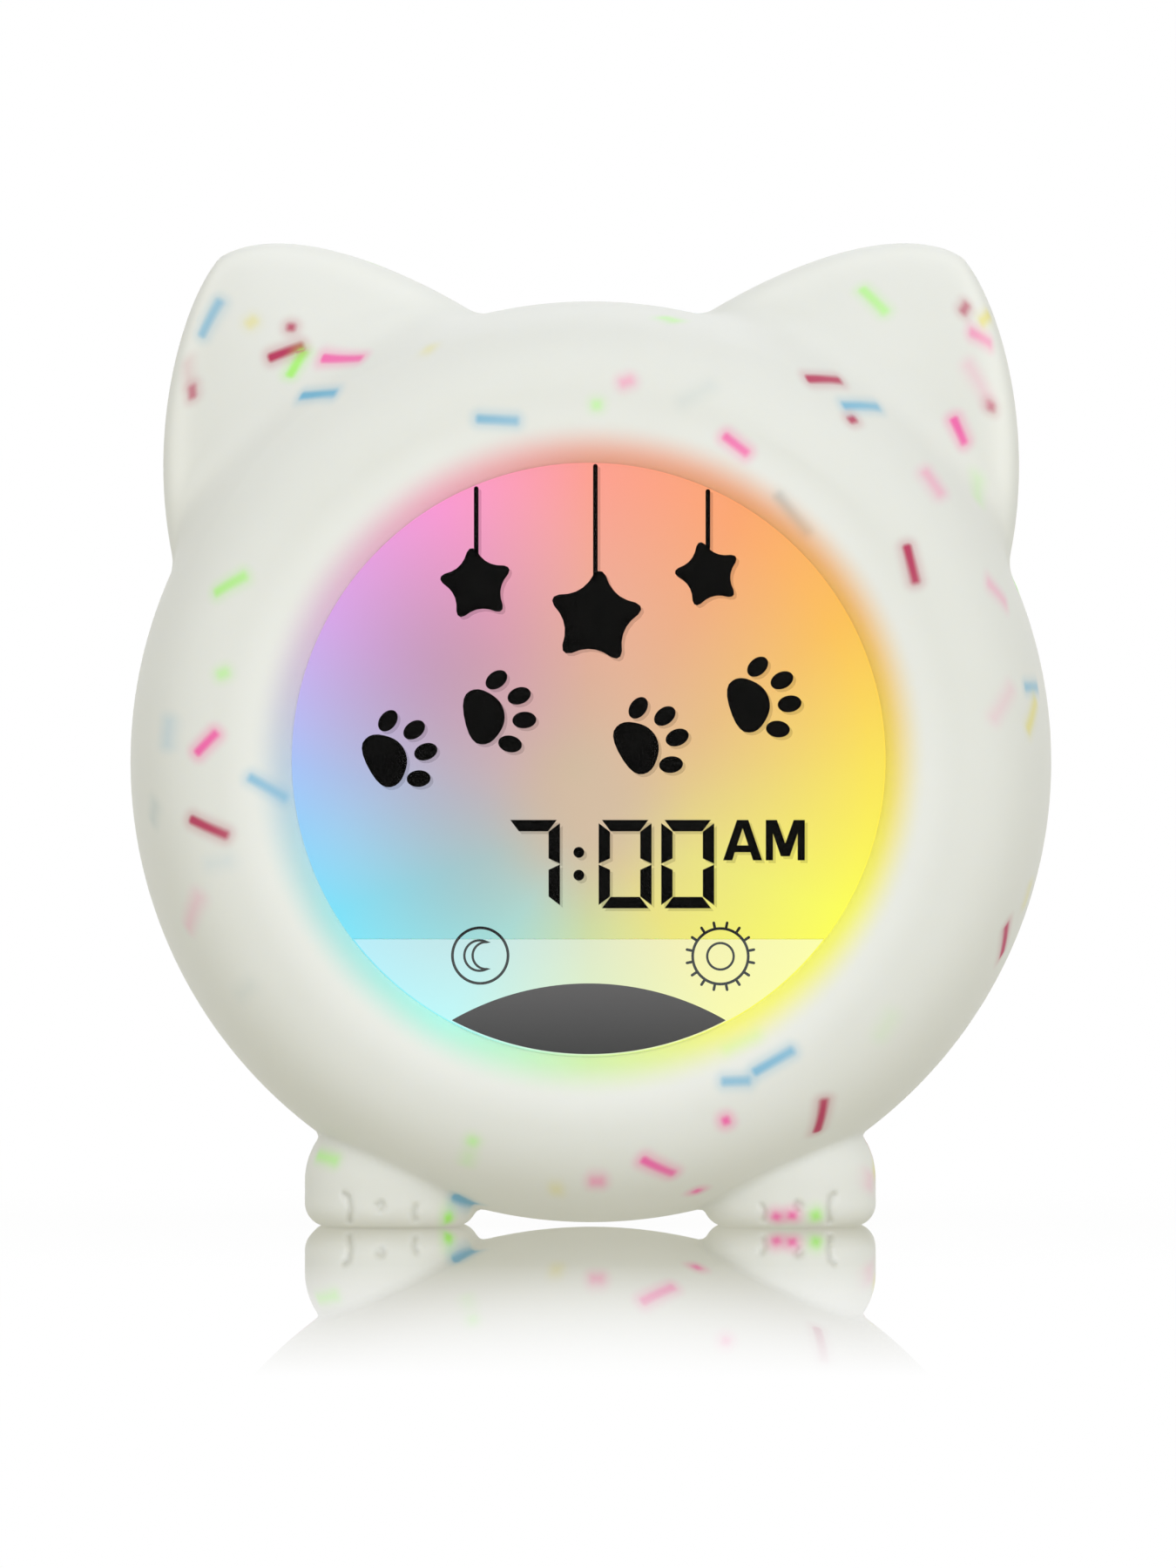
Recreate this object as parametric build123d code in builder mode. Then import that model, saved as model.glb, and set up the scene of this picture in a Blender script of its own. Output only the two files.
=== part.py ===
"""Kids alarm clock with night light: a round clock module inside a soft cat-shaped silicone sleeve.

Millimetres. +X is to the right of someone facing the dial, the dial faces -Y, and +Z is up.
The origin is on the floor, under the middle of the clock.
"""

import os
from math import cos, radians, sin, sqrt

from build123d import *

# ---------------------------------------------------------------- overall form
dial_height = 71.1  # centre of the dial above the floor
body_radius = 70.15  # round body of the sleeve, seen from the front
half_depth = 34.0  # middle plane to the sleeve's front crest, and to its rear crest
widest_depth = 3.0  # depth of the sleeve's widest ring
front_crest_inset = 16.65  # widest ring in to the ring where the sleeve stands furthest forward
rear_crest_inset = 14.15  # the same for the ring where it stands furthest back
sleeve_wall = 6.0  # silicone over the module's widest ring
sleeve_fit = 0.15  # gap between the silicone and the module
crest_tension = 1.2  # fullness of the body's curve at its two crests
widest_tension = 1.1  # and at its widest ring

# Ears: ellipses lofted along a line that leans out from the dial's centre.
ear_lean = 48.3  # angle of that line above the horizontal
ear_tip = 94.8  # dial centre to the ear's tip, along the line
ear_offset = 0.65  # ear's offset from the line, towards the middle of the head
ear_tip_shift = 7.8  # further offset of its tip
ear_root = 40.0  # where the loft starts, inside the body
ear_root_half_width = 35.3
ear_half_thickness = 26.5  # at the root
ear_blend = 5.5  # radius between an ear and the body
# Up the ear the half width is (1 - share^bow)^power of the root's, and the half thickness (1 - share)^power.
ear_sections = 7
ear_width_bow = 1.78
ear_width_power = 0.65
ear_thickness_power = 0.48
ear_shift_power = 2.4

# Paws
paw_centre = 30.3  # middle of a paw from the clock's middle plane
paw_width = 26.3
paw_length = 46.0  # front to back
paw_height = 19.0  # up to where it is lost in the body
paw_corner = 12.0
paw_top_round = 11.0
sole_round = 3.0
paw_blend = 1.2  # radius between a paw and the body
toe_middle = 31.4  # middle crease from the clock's middle plane
toe_pitch = 5.2  # spacing of the three toe creases
toe_crease_width = 1.0
toe_crease_depth = 0.9
toe_short = 2.2  # height of the two inner creases
toe_long = 4.6  # height of the outer crease
toe_base = 2.2  # bottom of the creases above the floor

# ---------------------------------------------------------------- display stack, front to back
window_rim = 25.5  # sleeve's front face, from its widest ring in to the window
window_gap = 0.2  # between the window's edge and the silicone lip
lens_recess = 2.7  # front of the window behind the front crest
lens_thickness = 2.0
lens_bevel = 0.4
bond_gap = 0.1  # clear adhesive behind the window
film_thickness = 0.3  # touch film behind the lower part of the window
lcd_thickness = 2.4
lcd_margin = 0.3  # octagonal glass beyond the window, at the middle of its flats
lcd_bottom_share = 0.605  # the glass stops this far below the dial's centre, of the window's radius
lcd_ledge = 2.6  # contact ledge that stands above the top flat
lcd_ledge_half_width = 14.0
lcd_ledge_thickness = 1.1
lcd_gap = 0.2  # around the glass
film_drop = 0.15  # top edge of the touch film below the glass
glow_rim = 6.0  # opal frame beyond the window, under the silicone lip
glow_flange = 2.0  # its flange beyond that
glow_flange_thickness = 1.0
diffuser_thickness = 1.5
tray_wall = 1.6
tray_depth = 12.1  # diffuser to the tray's floor
led_board_thickness = 1.6
led_board_width = 17.3
led_count = 12
led_inset = 8.5  # middle of the LEDs from the tray's outside
led_size = 5.0
led_height = 1.6
tray_cone_gap = 4.0  # between the board and the raised reflector in the tray's middle
tray_cone_flat = 9.0  # flat top of that reflector
tray_cone_height = 5.0
tray_ear_angles = (60.0, 120.0, 240.0, 300.0)
tray_ear_radius = 2.75
tray_ear_inset = 7.15  # tray screws from the module's widest ring
slide_fit = 0.1  # radial gap around round parts that drop into a seat

# ---------------------------------------------------------------- module case
case_wall = 2.2
parting = 4.0  # depth of the joint between the two case halves
rear_panel_recess = 2.5  # rear panel in front of the sleeve's rear crest
rear_rim = 20.15  # sleeve's rear face, from its widest ring in to the panel
rear_panel_thickness = 2.5
rear_lip_seat = 3.0  # step down from the panel to where the silicone lip lies
case_shoulder = 3.0  # flat rear lip seat, between the panel and the ring where the case curves
tongue_wall = 1.2
tongue_height = 2.0
tongue_root = 1.0  # tongue's root beyond the parting, past its own height
tongue_gap = 0.15
case_boss_inset = 7.25  # case screws from the module's widest ring
case_boss_angles = (30.0, 90.0, 150.0, 210.0, 270.0, 330.0)
front_boss_radius = 3.2
rear_boss_radius = 4.1
rear_boss_web = 5.0  # plastic under a case screw's head
well_gap = 0.35  # around a case screw's head

# Screws: pan heads, with a shank that a pilot hole just takes
screw_fit = 0.05
screw_tip_gap = 0.8  # pilot hole beyond a screw's tip
short_screw_tip_gap = 0.3  # the same for the screws that end near the outside
screw_crown_share = 0.6  # rounding of a head, as a share of its height
case_screw_radius = 1.25
case_screw_head_radius = 2.3
case_screw_head = 1.7
case_screw_length = 15.0
small_screw_radius = 1.0
small_screw_head_radius = 1.9
small_screw_head = 1.3
small_screw_length = 5.5
clamp_screw_head_radius = 3.2  # washer-headed screws that clamp the speaker
speaker_screw_length = 3.2

# ---------------------------------------------------------------- rear panel and electronics
board_standoff = 15.4  # back of the main board to the rear panel's inner face
board_thickness = 1.6
board_inset = 2.0  # board's edge inside the panel's
board_cell_gap = 4.8  # board's lower edge above the battery cell
board_boss_radius = 2.8
board_boss_shares = ((-0.26, 0.84), (0.26, 0.84), (-0.8, -0.1), (0.8, -0.1))  # of the panel's radius
board_hole_fit = 0.2
chip_height = 1.4
controller_size = 9.0
controller_place = (0.0, 12.0)
amplifier_length = 5.0
amplifier_width = 4.0
amplifier_place = (-16.0, 6.0)
memory_length = 5.2
memory_width = 5.2
memory_place = (14.0, 21.0)
capacitor_radius = 3.15
capacitor_height = 7.0
capacitor_round = 0.5
capacitor_places = ((-27.0, 8.0), (-27.0, 16.0))
socket_width = 7.5
socket_depth = 4.5
socket_height = 5.0
socket_wall = 0.7
socket_floor = 1.2
socket_row_lift = 4.5  # middle of the sockets above the board's lower edge
socket_inner = 15.0  # middles of the sockets from the clock's middle plane
socket_outer = 24.0

button_radius = 3.5
button_hole_gap = 0.25
button_flange_radius = 4.4
button_flange = 1.2
button_flange_gap = 0.2
button_proud = 1.0
button_travel = 0.6
button_post_radius = 1.4
button_crown = 0.6
button_column_share = 0.6  # of the panel's radius
button_row_shares = (0.5, 0.28, 0.06)
button_names = (("light", "sound", "timer"), ("set", "plus", "minus"))
switch_can = 6.0  # square body of a tactile switch
switch_can_height = 3.5
plunger_radius = 1.7
plunger_gap = 0.08
plunger_proud = 0.9
plunger_sunk = 0.9
plunger_overtravel = 0.3
plunger_chamfer = 0.3

speaker_height_share = 0.4  # centre of the speaker above the dial's centre, of the panel's radius
speaker_radius = 18.0
speaker_flange = 1.4
speaker_gasket = 0.4
speaker_gasket_width = 2.5
speaker_depth = 12.0
speaker_magnet_radius = 9.5
speaker_magnet_height = 4.4
speaker_cone_wall = 0.6
speaker_dome_radius = 6.0
speaker_dome_height = 1.6
speaker_dome_lift = 2.2  # foot of the dome behind the magnet
speaker_ledge = 0.7  # seat for the cone's rim
speaker_ledge_radius = 16.2
speaker_throat_edge = 15.6  # widest ring of the basket's funnel
speaker_frame_wall = 0.8
magnet_chamfer = 0.6
speaker_clamp_ring = 20.6
speaker_clamp_angles = (35.0, 145.0, 215.0, 325.0)
speaker_boss_radius = 2.3
grille_hole_radius = 1.1
grille_pitch = 4.4  # between the rings of holes
grille_ring_count = 3
grille_ring_holes = 6  # holes in the first ring, and as many more in each ring after it

cell_radius = 9.2
cell_length = 65.0
cell_lift = 12.0  # centre of the battery cell above the USB socket and the power switch
cell_panel_gap = 1.4  # between the cell and the rear panel's inner face
cell_button_radius = 2.8
cell_button_height = 1.0
cell_gap = 0.15
cell_round = 0.6
saddle_spread = 26.0  # saddle ribs on each side of the middle
saddle_thickness = 2.4
saddle_half_height = 9.7
saddle_depth = 3.5  # front edge of a saddle behind the cell's middle
stop_wall = 1.6  # wall at each end of the cell
stop_half_height = 5.0
clamp_width = 9.0
clamp_wall = 1.6
clamp_foot = 7.0  # length of each foot, beside the strap's arch
clamp_boss_radius = 3.0
clamp_corner = 2.0

usb_across = 14.0  # USB-C socket's centre, to the right
port_height_share = -0.76  # socket and power switch, from the dial's centre, of the panel's radius
usb_width = 8.94
usb_thickness = 3.26
usb_wall = 0.35
usb_length = 9.4
usb_inset = 0.6  # mouth behind the panel's face
usb_gap = 0.35
usb_board_width = 20.0
usb_board_height = 12.0
usb_board_thickness = 1.2
usb_board_drop = 4.0  # board's centre below the socket
usb_floor = 1.0  # closed front end of the socket
usb_tongue = 0.7
usb_tongue_width = 6.7
usb_tongue_recess = 0.9
usb_boss_radius = 2.4
usb_boss_spread = 7.4

power_across = -13.5
power_travel = 2.5
power_body_length = 12.0
power_body_height = 5.4
power_body_depth = 4.6
power_tab = 4.0  # mounting tab at each end of the body
power_tab_thickness = 1.0
power_boss_height = 3.0
power_boss_radius = 1.8
power_screw_length = 3.6
power_knob_length = 3.6
power_knob_height = 2.4
power_knob_proud = 0.9
power_slot_gap = 0.4
power_well_gap = 0.3
power_knob_sunk = 1.4  # part of the knob inside the switch
power_tab_trim = 1.4  # tabs are this much lower than the body
power_hole_fit = 0.15
power_head_trim = 0.4
grip_pitch = 1.1
grip_width = 0.35
grip_depth = 0.3

# ---------------------------------------------------------------- derived radii and heights
front_crest_radius = body_radius - front_crest_inset
rear_crest_radius = body_radius - rear_crest_inset
window_radius = body_radius - window_rim
lcd_apothem = window_radius + lcd_margin
lcd_bottom = lcd_bottom_share * window_radius
glow_radius = window_radius + glow_rim
glow_flange_radius = glow_radius + glow_flange
tray_radius = glow_flange_radius
led_ring_radius = tray_radius - led_inset
led_board_radius = tray_radius - tray_wall - slide_fit
led_board_inner_radius = led_board_radius - led_board_width
tray_cone_radius = led_board_inner_radius - tray_cone_gap
core_radius = body_radius - sleeve_wall
tray_ear_ring = core_radius - tray_ear_inset
case_boss_ring = core_radius - case_boss_inset
rear_panel_radius = body_radius - rear_rim
case_shoulder_radius = rear_panel_radius + case_shoulder
front_lip_radius = window_radius + window_gap
rear_lip_radius = rear_panel_radius + sleeve_fit
board_radius = rear_panel_radius - board_inset
button_column = button_column_share * rear_panel_radius
speaker_height = speaker_height_share * rear_panel_radius
port_height = port_height_share * rear_panel_radius
cell_height = port_height + cell_lift
board_bottom = -cell_height - cell_radius - board_cell_gap  # below the dial's centre
socket_row = socket_row_lift - board_bottom

# ---------------------------------------------------------------- derived levels along Y
front_crest = -half_depth
rear_crest = half_depth
lens_front = front_crest + lens_recess
lens_back = lens_front + lens_thickness
core_front = lens_back  # front face of the module, where the silicone lip lies
lcd_front = lens_back + bond_gap
film_back = lcd_front + film_thickness
lcd_back = lcd_front + lcd_thickness
glow_flange_front = lcd_back - glow_flange_thickness
diffuser_back = lcd_back + diffuser_thickness
tray_floor_front = diffuser_back + tray_depth
tray_floor_back = tray_floor_front + tray_wall
panel_face = rear_crest - rear_panel_recess
panel_inner = panel_face - rear_panel_thickness
lip_seat = panel_face - rear_lip_seat
board_back = panel_inner - board_standoff
board_depth = board_back - board_thickness
plunger_top = board_back + switch_can_height + plunger_proud
flange_back = panel_inner - button_flange_gap
cell_depth = panel_inner - cell_panel_gap - cell_radius
speaker_flange_front = panel_inner - speaker_gasket - speaker_flange
usb_mouth = panel_face - usb_inset
usb_board_back = usb_mouth - usb_length
usb_board_front = usb_board_back - usb_board_thickness
parting_squeeze = sqrt(1 - (parting / (lip_seat - case_wall)) ** 2)
tongue_outer = (
    case_shoulder_radius + (core_radius - case_wall - case_shoulder_radius) * parting_squeeze - tongue_gap
)

dial_axis = Axis((0, 0, dial_height), (0, 1, 0))
turning_plane = Plane.XY.offset(dial_height)  # sketch X is the radius, sketch Y is the depth


def dial_plane(depth):
    """Plane across the clock: sketch X is right, sketch Y is up, and extrude goes to the front."""
    return Plane(origin=(0, depth, dial_height), x_dir=(1, 0, 0), z_dir=(0, -1, 0))


def on_ring(radius, angle):
    """Point on a circle about the dial's centre, as sketch coordinates."""
    return (radius * cos(radians(angle)), radius * sin(radians(angle)))


def save(builder, name):
    """Labels a finished piece and writes it as a STEP file."""
    builder.part.label = name
    export_step(builder.part, f"parts/{name}.step")


os.makedirs("parts", exist_ok=True)


# ---------------------------------------------------------------- shared forms
def discs(front, back, radius, places=((0, 0),), mode=Mode.ADD):
    """Adds or cuts round bars that lie along the clock's depth, between two levels."""
    with BuildSketch(dial_plane(back)) as face:
        with Locations(*places):
            Circle(radius)
    extrude(face.sketch, amount=back - front, mode=mode)


def blocks(front, back, width, height, places=((0, 0),), mode=Mode.ADD):
    """Adds or cuts square-cornered blocks between two levels."""
    with BuildSketch(dial_plane(back)) as face:
        with Locations(*places):
            Rectangle(width, height)
    extrude(face.sketch, amount=back - front, mode=mode)


def screw_set(places, seat, length, shank_radius, head_radius, head_height, driven):
    """Pan-head screws with their heads on one level, driven to the front (-1) or the back (1)."""
    tip = seat + driven * length
    crown = seat - driven * head_height
    with BuildPart() as screws:
        discs(min(seat, tip), max(seat, tip), shank_radius, places)
        discs(min(seat, crown), max(seat, crown), head_radius, places)
        crowns = screws.faces().filter_by(Plane.XZ).group_by(Axis.Y)[0 if driven > 0 else -1]
        fillet(crowns.edges(), screw_crown_share * head_height)
    return screws


def module_solid(inset=0.0, panel_inset=0.0):
    """Closed module turned about the dial's axis, with every wall moved in by the inset."""
    front = core_front + inset
    seat = lip_seat - inset
    flare = core_radius - inset - case_shoulder_radius
    panel = panel_face - panel_inset
    panel_edge = rear_panel_radius - inset
    with BuildPart() as solid:
        with BuildSketch(turning_plane):
            with BuildLine():
                Line((0, front), (case_shoulder_radius, front))
                EllipticalCenterArc((case_shoulder_radius, 0), flare, -front, start_angle=270, arc_size=90)
                EllipticalCenterArc((case_shoulder_radius, 0), flare, seat, start_angle=0, arc_size=90)
                Polyline(
                    (case_shoulder_radius, seat), (panel_edge, seat), (panel_edge, panel), (0, panel),
                    (0, front),
                )
            make_face()
        revolve(axis=dial_axis)
    return solid.part


def lcd_outline(grow=0.0):
    """Octagon with its lower part cut off straight, and the contact ledge above its top flat."""
    with BuildSketch() as outline:
        RegularPolygon(lcd_apothem + grow, 8, major_radius=False, rotation=22.5)
        with Locations((0, -lcd_bottom - grow)):
            Rectangle(
                3 * lcd_apothem, 3 * lcd_apothem, align=(Align.CENTER, Align.MIN), mode=Mode.INTERSECT
            )
        with Locations((0, lcd_apothem)):
            Rectangle(
                2 * (lcd_ledge_half_width + grow), lcd_ledge + grow, align=(Align.CENTER, Align.MIN)
            )
    return outline.sketch


def film_outline(grow=0.0):
    """Part of the window's disc that lies below the liquid crystal glass."""
    with BuildSketch() as outline:
        Circle(window_radius + grow)
        with Locations((0, -lcd_bottom - film_drop + grow)):
            Rectangle(
                3 * window_radius, 3 * window_radius, align=(Align.CENTER, Align.MAX), mode=Mode.INTERSECT
            )
    return outline.sketch


# ---------------------------------------------------------------- silicone sleeve
def ear_section(distance, shift, half_width, half_thickness):
    """One cross-section of the right ear, square to the ear's line."""
    along = (cos(radians(ear_lean)), sin(radians(ear_lean)))
    across = (-along[1], along[0])
    centre_x = distance * along[0] + shift * across[0]
    centre_z = dial_height + distance * along[1] + shift * across[1]
    plane = Plane(
        origin=(centre_x, 0, centre_z), x_dir=(across[0], 0, across[1]), z_dir=(along[0], 0, along[1])
    )
    with BuildSketch(plane) as section:
        Ellipse(half_width, half_thickness)
    return section.sketch


def ear_solid():
    """Right ear: ellipses that narrow from the root to a rounded tip."""
    sections = []
    for step in range(ear_sections):
        share = sin(radians(90 * step / ear_sections))
        sections.append(
            ear_section(
                ear_root + share * (ear_tip - ear_root),
                ear_offset + ear_tip_shift * share**ear_shift_power,
                ear_root_half_width * (1 - share**ear_width_bow) ** ear_width_power,
                ear_half_thickness * (1 - share) ** ear_thickness_power,
            )
        )
    along = (cos(radians(ear_lean)), sin(radians(ear_lean)))
    tip_offset = ear_offset + ear_tip_shift
    tip_x = ear_tip * along[0] - tip_offset * along[1]
    tip_z = dial_height + ear_tip * along[1] + tip_offset * along[0]
    with BuildPart() as ear:
        loft(sections=[*sections, Vertex(tip_x, 0, tip_z)])
    return ear.part


def paw_solid():
    """Right paw: a block with a flat sole and rounded toes and sides."""
    with BuildPart() as paw:
        with BuildSketch(Plane.XY):
            with Locations((paw_centre, 0)):
                Rectangle(paw_width, paw_length)
        extrude(amount=paw_height)
        fillet(paw.edges().filter_by(Axis.Z), paw_corner)
        fillet(paw.edges().group_by(Axis.Z)[-1], paw_top_round)
        fillet(paw.edges().group_by(Axis.Z)[0], sole_round)
    return paw.part


with BuildPart() as body_form:
    with BuildSketch(turning_plane):
        with BuildLine():
            EllipticalCenterArc(
                (front_crest_radius, lens_front), front_crest_radius - front_lip_radius, lens_recess,
                start_angle=180, arc_size=90,
            )
            Spline(
                (front_crest_radius, front_crest), (body_radius, widest_depth),
                (rear_crest_radius, rear_crest),
                tangents=((1, 0), (0, 1), (-1, 0)),
                tangent_scalars=(crest_tension, widest_tension, crest_tension),
            )
            EllipticalCenterArc(
                (rear_crest_radius, panel_face), rear_crest_radius - rear_lip_radius, rear_panel_recess,
                start_angle=90, arc_size=90,
            )
            Polyline(
                (rear_lip_radius, panel_face), (0, panel_face), (0, lens_front),
                (front_lip_radius, lens_front),
            )
        make_face()
    revolve(axis=dial_axis)

right_ear = ear_solid()
right_paw = paw_solid()
ears_and_paws = [right_ear, mirror(right_ear, Plane.YZ), right_paw, mirror(right_paw, Plane.YZ)]

with BuildPart() as silicone_sleeve:
    add(body_form.part)
    add(ears_and_paws)
    seams = new_edges(body_form.part, *ears_and_paws, combined=silicone_sleeve.part)
    fillet([edge for edge in seams if edge.center().Z > dial_height], ear_blend)
    paw_seams = new_edges(body_form.part, *ears_and_paws, combined=silicone_sleeve.part)
    fillet([edge for edge in paw_seams if edge.center().Z < paw_height], paw_blend)
    add(module_solid(-sleeve_fit, -sleeve_fit), mode=Mode.SUBTRACT)
    discs(front_crest, core_front, front_lip_radius, mode=Mode.SUBTRACT)
    for side in (-1, 1):
        for step, height in ((-1, toe_short), (0, toe_short), (1, toe_long)):
            with BuildSketch(Plane.XZ.offset(paw_length / 2 - toe_crease_depth)) as crease:
                with Locations((side * (toe_middle + step * toe_pitch), toe_base + height / 2)):
                    SlotOverall(height, toe_crease_width, rotation=90)
            extrude(crease.sketch, amount=paw_length, mode=Mode.SUBTRACT)
save(silicone_sleeve, "silicone_sleeve")

# ---------------------------------------------------------------- display stack
with BuildPart() as window_lens:
    discs(lens_front, lens_back, window_radius)
    chamfer(window_lens.faces().sort_by(Axis.Y)[0].edges(), lens_bevel)
save(window_lens, "window_lens")

with BuildPart() as touch_film:
    with BuildSketch(dial_plane(film_back)):
        add(film_outline())
    extrude(amount=film_thickness)
save(touch_film, "touch_film")

with BuildPart() as lcd_panel:
    with BuildSketch(dial_plane(lcd_back)):
        add(lcd_outline())
    extrude(amount=lcd_thickness)
    blocks(
        lcd_front, lcd_back - lcd_ledge_thickness, 2 * lcd_ledge_half_width, 2 * lcd_ledge,
        [(0, lcd_apothem + lcd_ledge)], mode=Mode.SUBTRACT,
    )
save(lcd_panel, "lcd_panel")

with BuildPart() as glow_frame:
    discs(core_front, lcd_back, glow_radius)
    discs(glow_flange_front, lcd_back, glow_flange_radius)
    with BuildSketch(dial_plane(lcd_back)):
        add(lcd_outline(lcd_gap))
    extrude(amount=lcd_back - core_front, mode=Mode.SUBTRACT)
    with BuildSketch(dial_plane(film_back)):
        add(film_outline(lcd_gap / 2))
    extrude(amount=film_back - core_front, mode=Mode.SUBTRACT)
save(glow_frame, "glow_frame")

with BuildPart() as diffuser_plate:
    discs(lcd_back, diffuser_back, tray_radius)
save(diffuser_plate, "diffuser_plate")

tray_ears = [on_ring(tray_ear_ring, angle) for angle in tray_ear_angles]
with BuildPart() as reflector_tray:
    with BuildSketch(turning_plane):
        with BuildLine():
            inner_radius = tray_radius - tray_wall
            cone_front = tray_floor_front - tray_cone_height
            cone_back = tray_floor_back - tray_cone_height
            Polyline(
                (0, cone_front), (tray_cone_flat, cone_front), (tray_cone_radius, tray_floor_front),
                (inner_radius, tray_floor_front), (inner_radius, diffuser_back), (tray_radius, diffuser_back),
                (tray_radius, tray_floor_back), (tray_cone_radius, tray_floor_back),
                (tray_cone_flat, cone_back), (0, cone_back), (0, cone_front),
            )
        make_face()
    revolve(axis=dial_axis)
    with BuildSketch(dial_plane(tray_floor_back)) as tray_lugs:
        for angle in tray_ear_angles:
            with Locations(Location((0, 0, 0), (0, 0, angle))):
                with Locations((tray_ear_ring, 0)):
                    Circle(tray_ear_radius)
                with Locations((inner_radius, 0)):
                    Rectangle(
                        tray_ear_ring - inner_radius, 2 * tray_ear_radius, align=(Align.MIN, Align.CENTER)
                    )
    extrude(tray_lugs.sketch, amount=tray_wall)
    discs(tray_floor_front, tray_floor_back, small_screw_radius + board_hole_fit, tray_ears, Mode.SUBTRACT)
save(reflector_tray, "reflector_tray")

led_board_front = tray_floor_front - led_board_thickness
with BuildPart() as led_board:
    discs(led_board_front, tray_floor_front, led_board_radius)
    discs(led_board_front, tray_floor_front, led_board_inner_radius, mode=Mode.SUBTRACT)
save(led_board, "led_board")

with BuildPart() as leds:
    with BuildSketch(dial_plane(led_board_front)):
        with PolarLocations(led_ring_radius, led_count):
            Rectangle(led_size, led_size)
    extrude(amount=led_height)
save(leds, "leds")

tray_screws = screw_set(
    tray_ears, tray_floor_back, small_screw_length, small_screw_radius, small_screw_head_radius,
    small_screw_head, driven=-1,
)
save(tray_screws, "tray_screws")

# ---------------------------------------------------------------- module case
module_outside = module_solid()
module_inside = module_solid(case_wall, rear_panel_thickness)
case_screw_places = [on_ring(case_boss_ring, angle) for angle in case_boss_angles]
case_screw_seat = parting + rear_boss_web
parting_plane = Plane.XZ.offset(-parting)

with BuildPart() as front_posts:
    discs(core_front, parting, front_boss_radius, case_screw_places)
    discs(core_front, tray_floor_front, tray_ear_radius, tray_ears)
    add(module_outside, mode=Mode.INTERSECT)

with BuildPart() as front_case:
    add(module_outside)
    add(module_inside, mode=Mode.SUBTRACT)
    split(bisect_by=parting_plane, keep=Keep.TOP)
    add(front_posts.part)
    discs(core_front, 0, glow_radius + slide_fit, mode=Mode.SUBTRACT)
    discs(glow_flange_front, 0, glow_flange_radius + slide_fit, mode=Mode.SUBTRACT)
    pilot = case_screw_length - rear_boss_web + screw_tip_gap
    discs(parting - pilot, parting, case_screw_radius + screw_fit, case_screw_places, Mode.SUBTRACT)
    discs(
        tray_floor_back - small_screw_length - screw_tip_gap, tray_floor_front,
        small_screw_radius + screw_fit, tray_ears, Mode.SUBTRACT,
    )
save(front_case, "front_case")

board_posts = [(across * rear_panel_radius, up * rear_panel_radius) for across, up in board_boss_shares]
clamp_span = cell_radius + cell_gap + clamp_wall + clamp_foot / 2
clamp_posts = [(0, cell_height - clamp_span), (0, cell_height + clamp_span)]
speaker_posts = [
    (speaker_clamp_ring * cos(radians(angle)), speaker_height + speaker_clamp_ring * sin(radians(angle)))
    for angle in speaker_clamp_angles
]
usb_board_centre = port_height - usb_board_drop
usb_posts = [(usb_across + side * usb_boss_spread, usb_board_centre) for side in (-1, 1)]
power_post_spread = power_body_length / 2 + power_tab / 2
power_posts = [(power_across + side * power_post_spread, port_height) for side in (-1, 1)]
button_rows = [share * rear_panel_radius for share in button_row_shares]
button_places = [(side * button_column, row) for side in (-1, 1) for row in button_rows]

with BuildPart() as rear_posts:
    discs(parting, panel_face, rear_boss_radius, case_screw_places)
    discs(board_back, panel_face, board_boss_radius, board_posts)
    discs(cell_depth, panel_face, clamp_boss_radius, clamp_posts)
    discs(speaker_flange_front, panel_face, speaker_boss_radius, speaker_posts)
    discs(usb_board_back, panel_face, usb_boss_radius, usb_posts)
    discs(panel_inner - power_boss_height, panel_face, power_boss_radius, power_posts)
    saddle_places = [(-saddle_spread, cell_height), (saddle_spread, cell_height)]
    blocks(cell_depth + saddle_depth, panel_face, saddle_thickness, 2 * saddle_half_height, saddle_places)
    stop_reach = cell_length / 2 + cell_gap + stop_wall / 2
    stop_places = [(-stop_reach, cell_height), (stop_reach, cell_height)]
    blocks(cell_depth, panel_face, stop_wall, 2 * stop_half_height, stop_places)
    add(module_outside, mode=Mode.INTERSECT)

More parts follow.
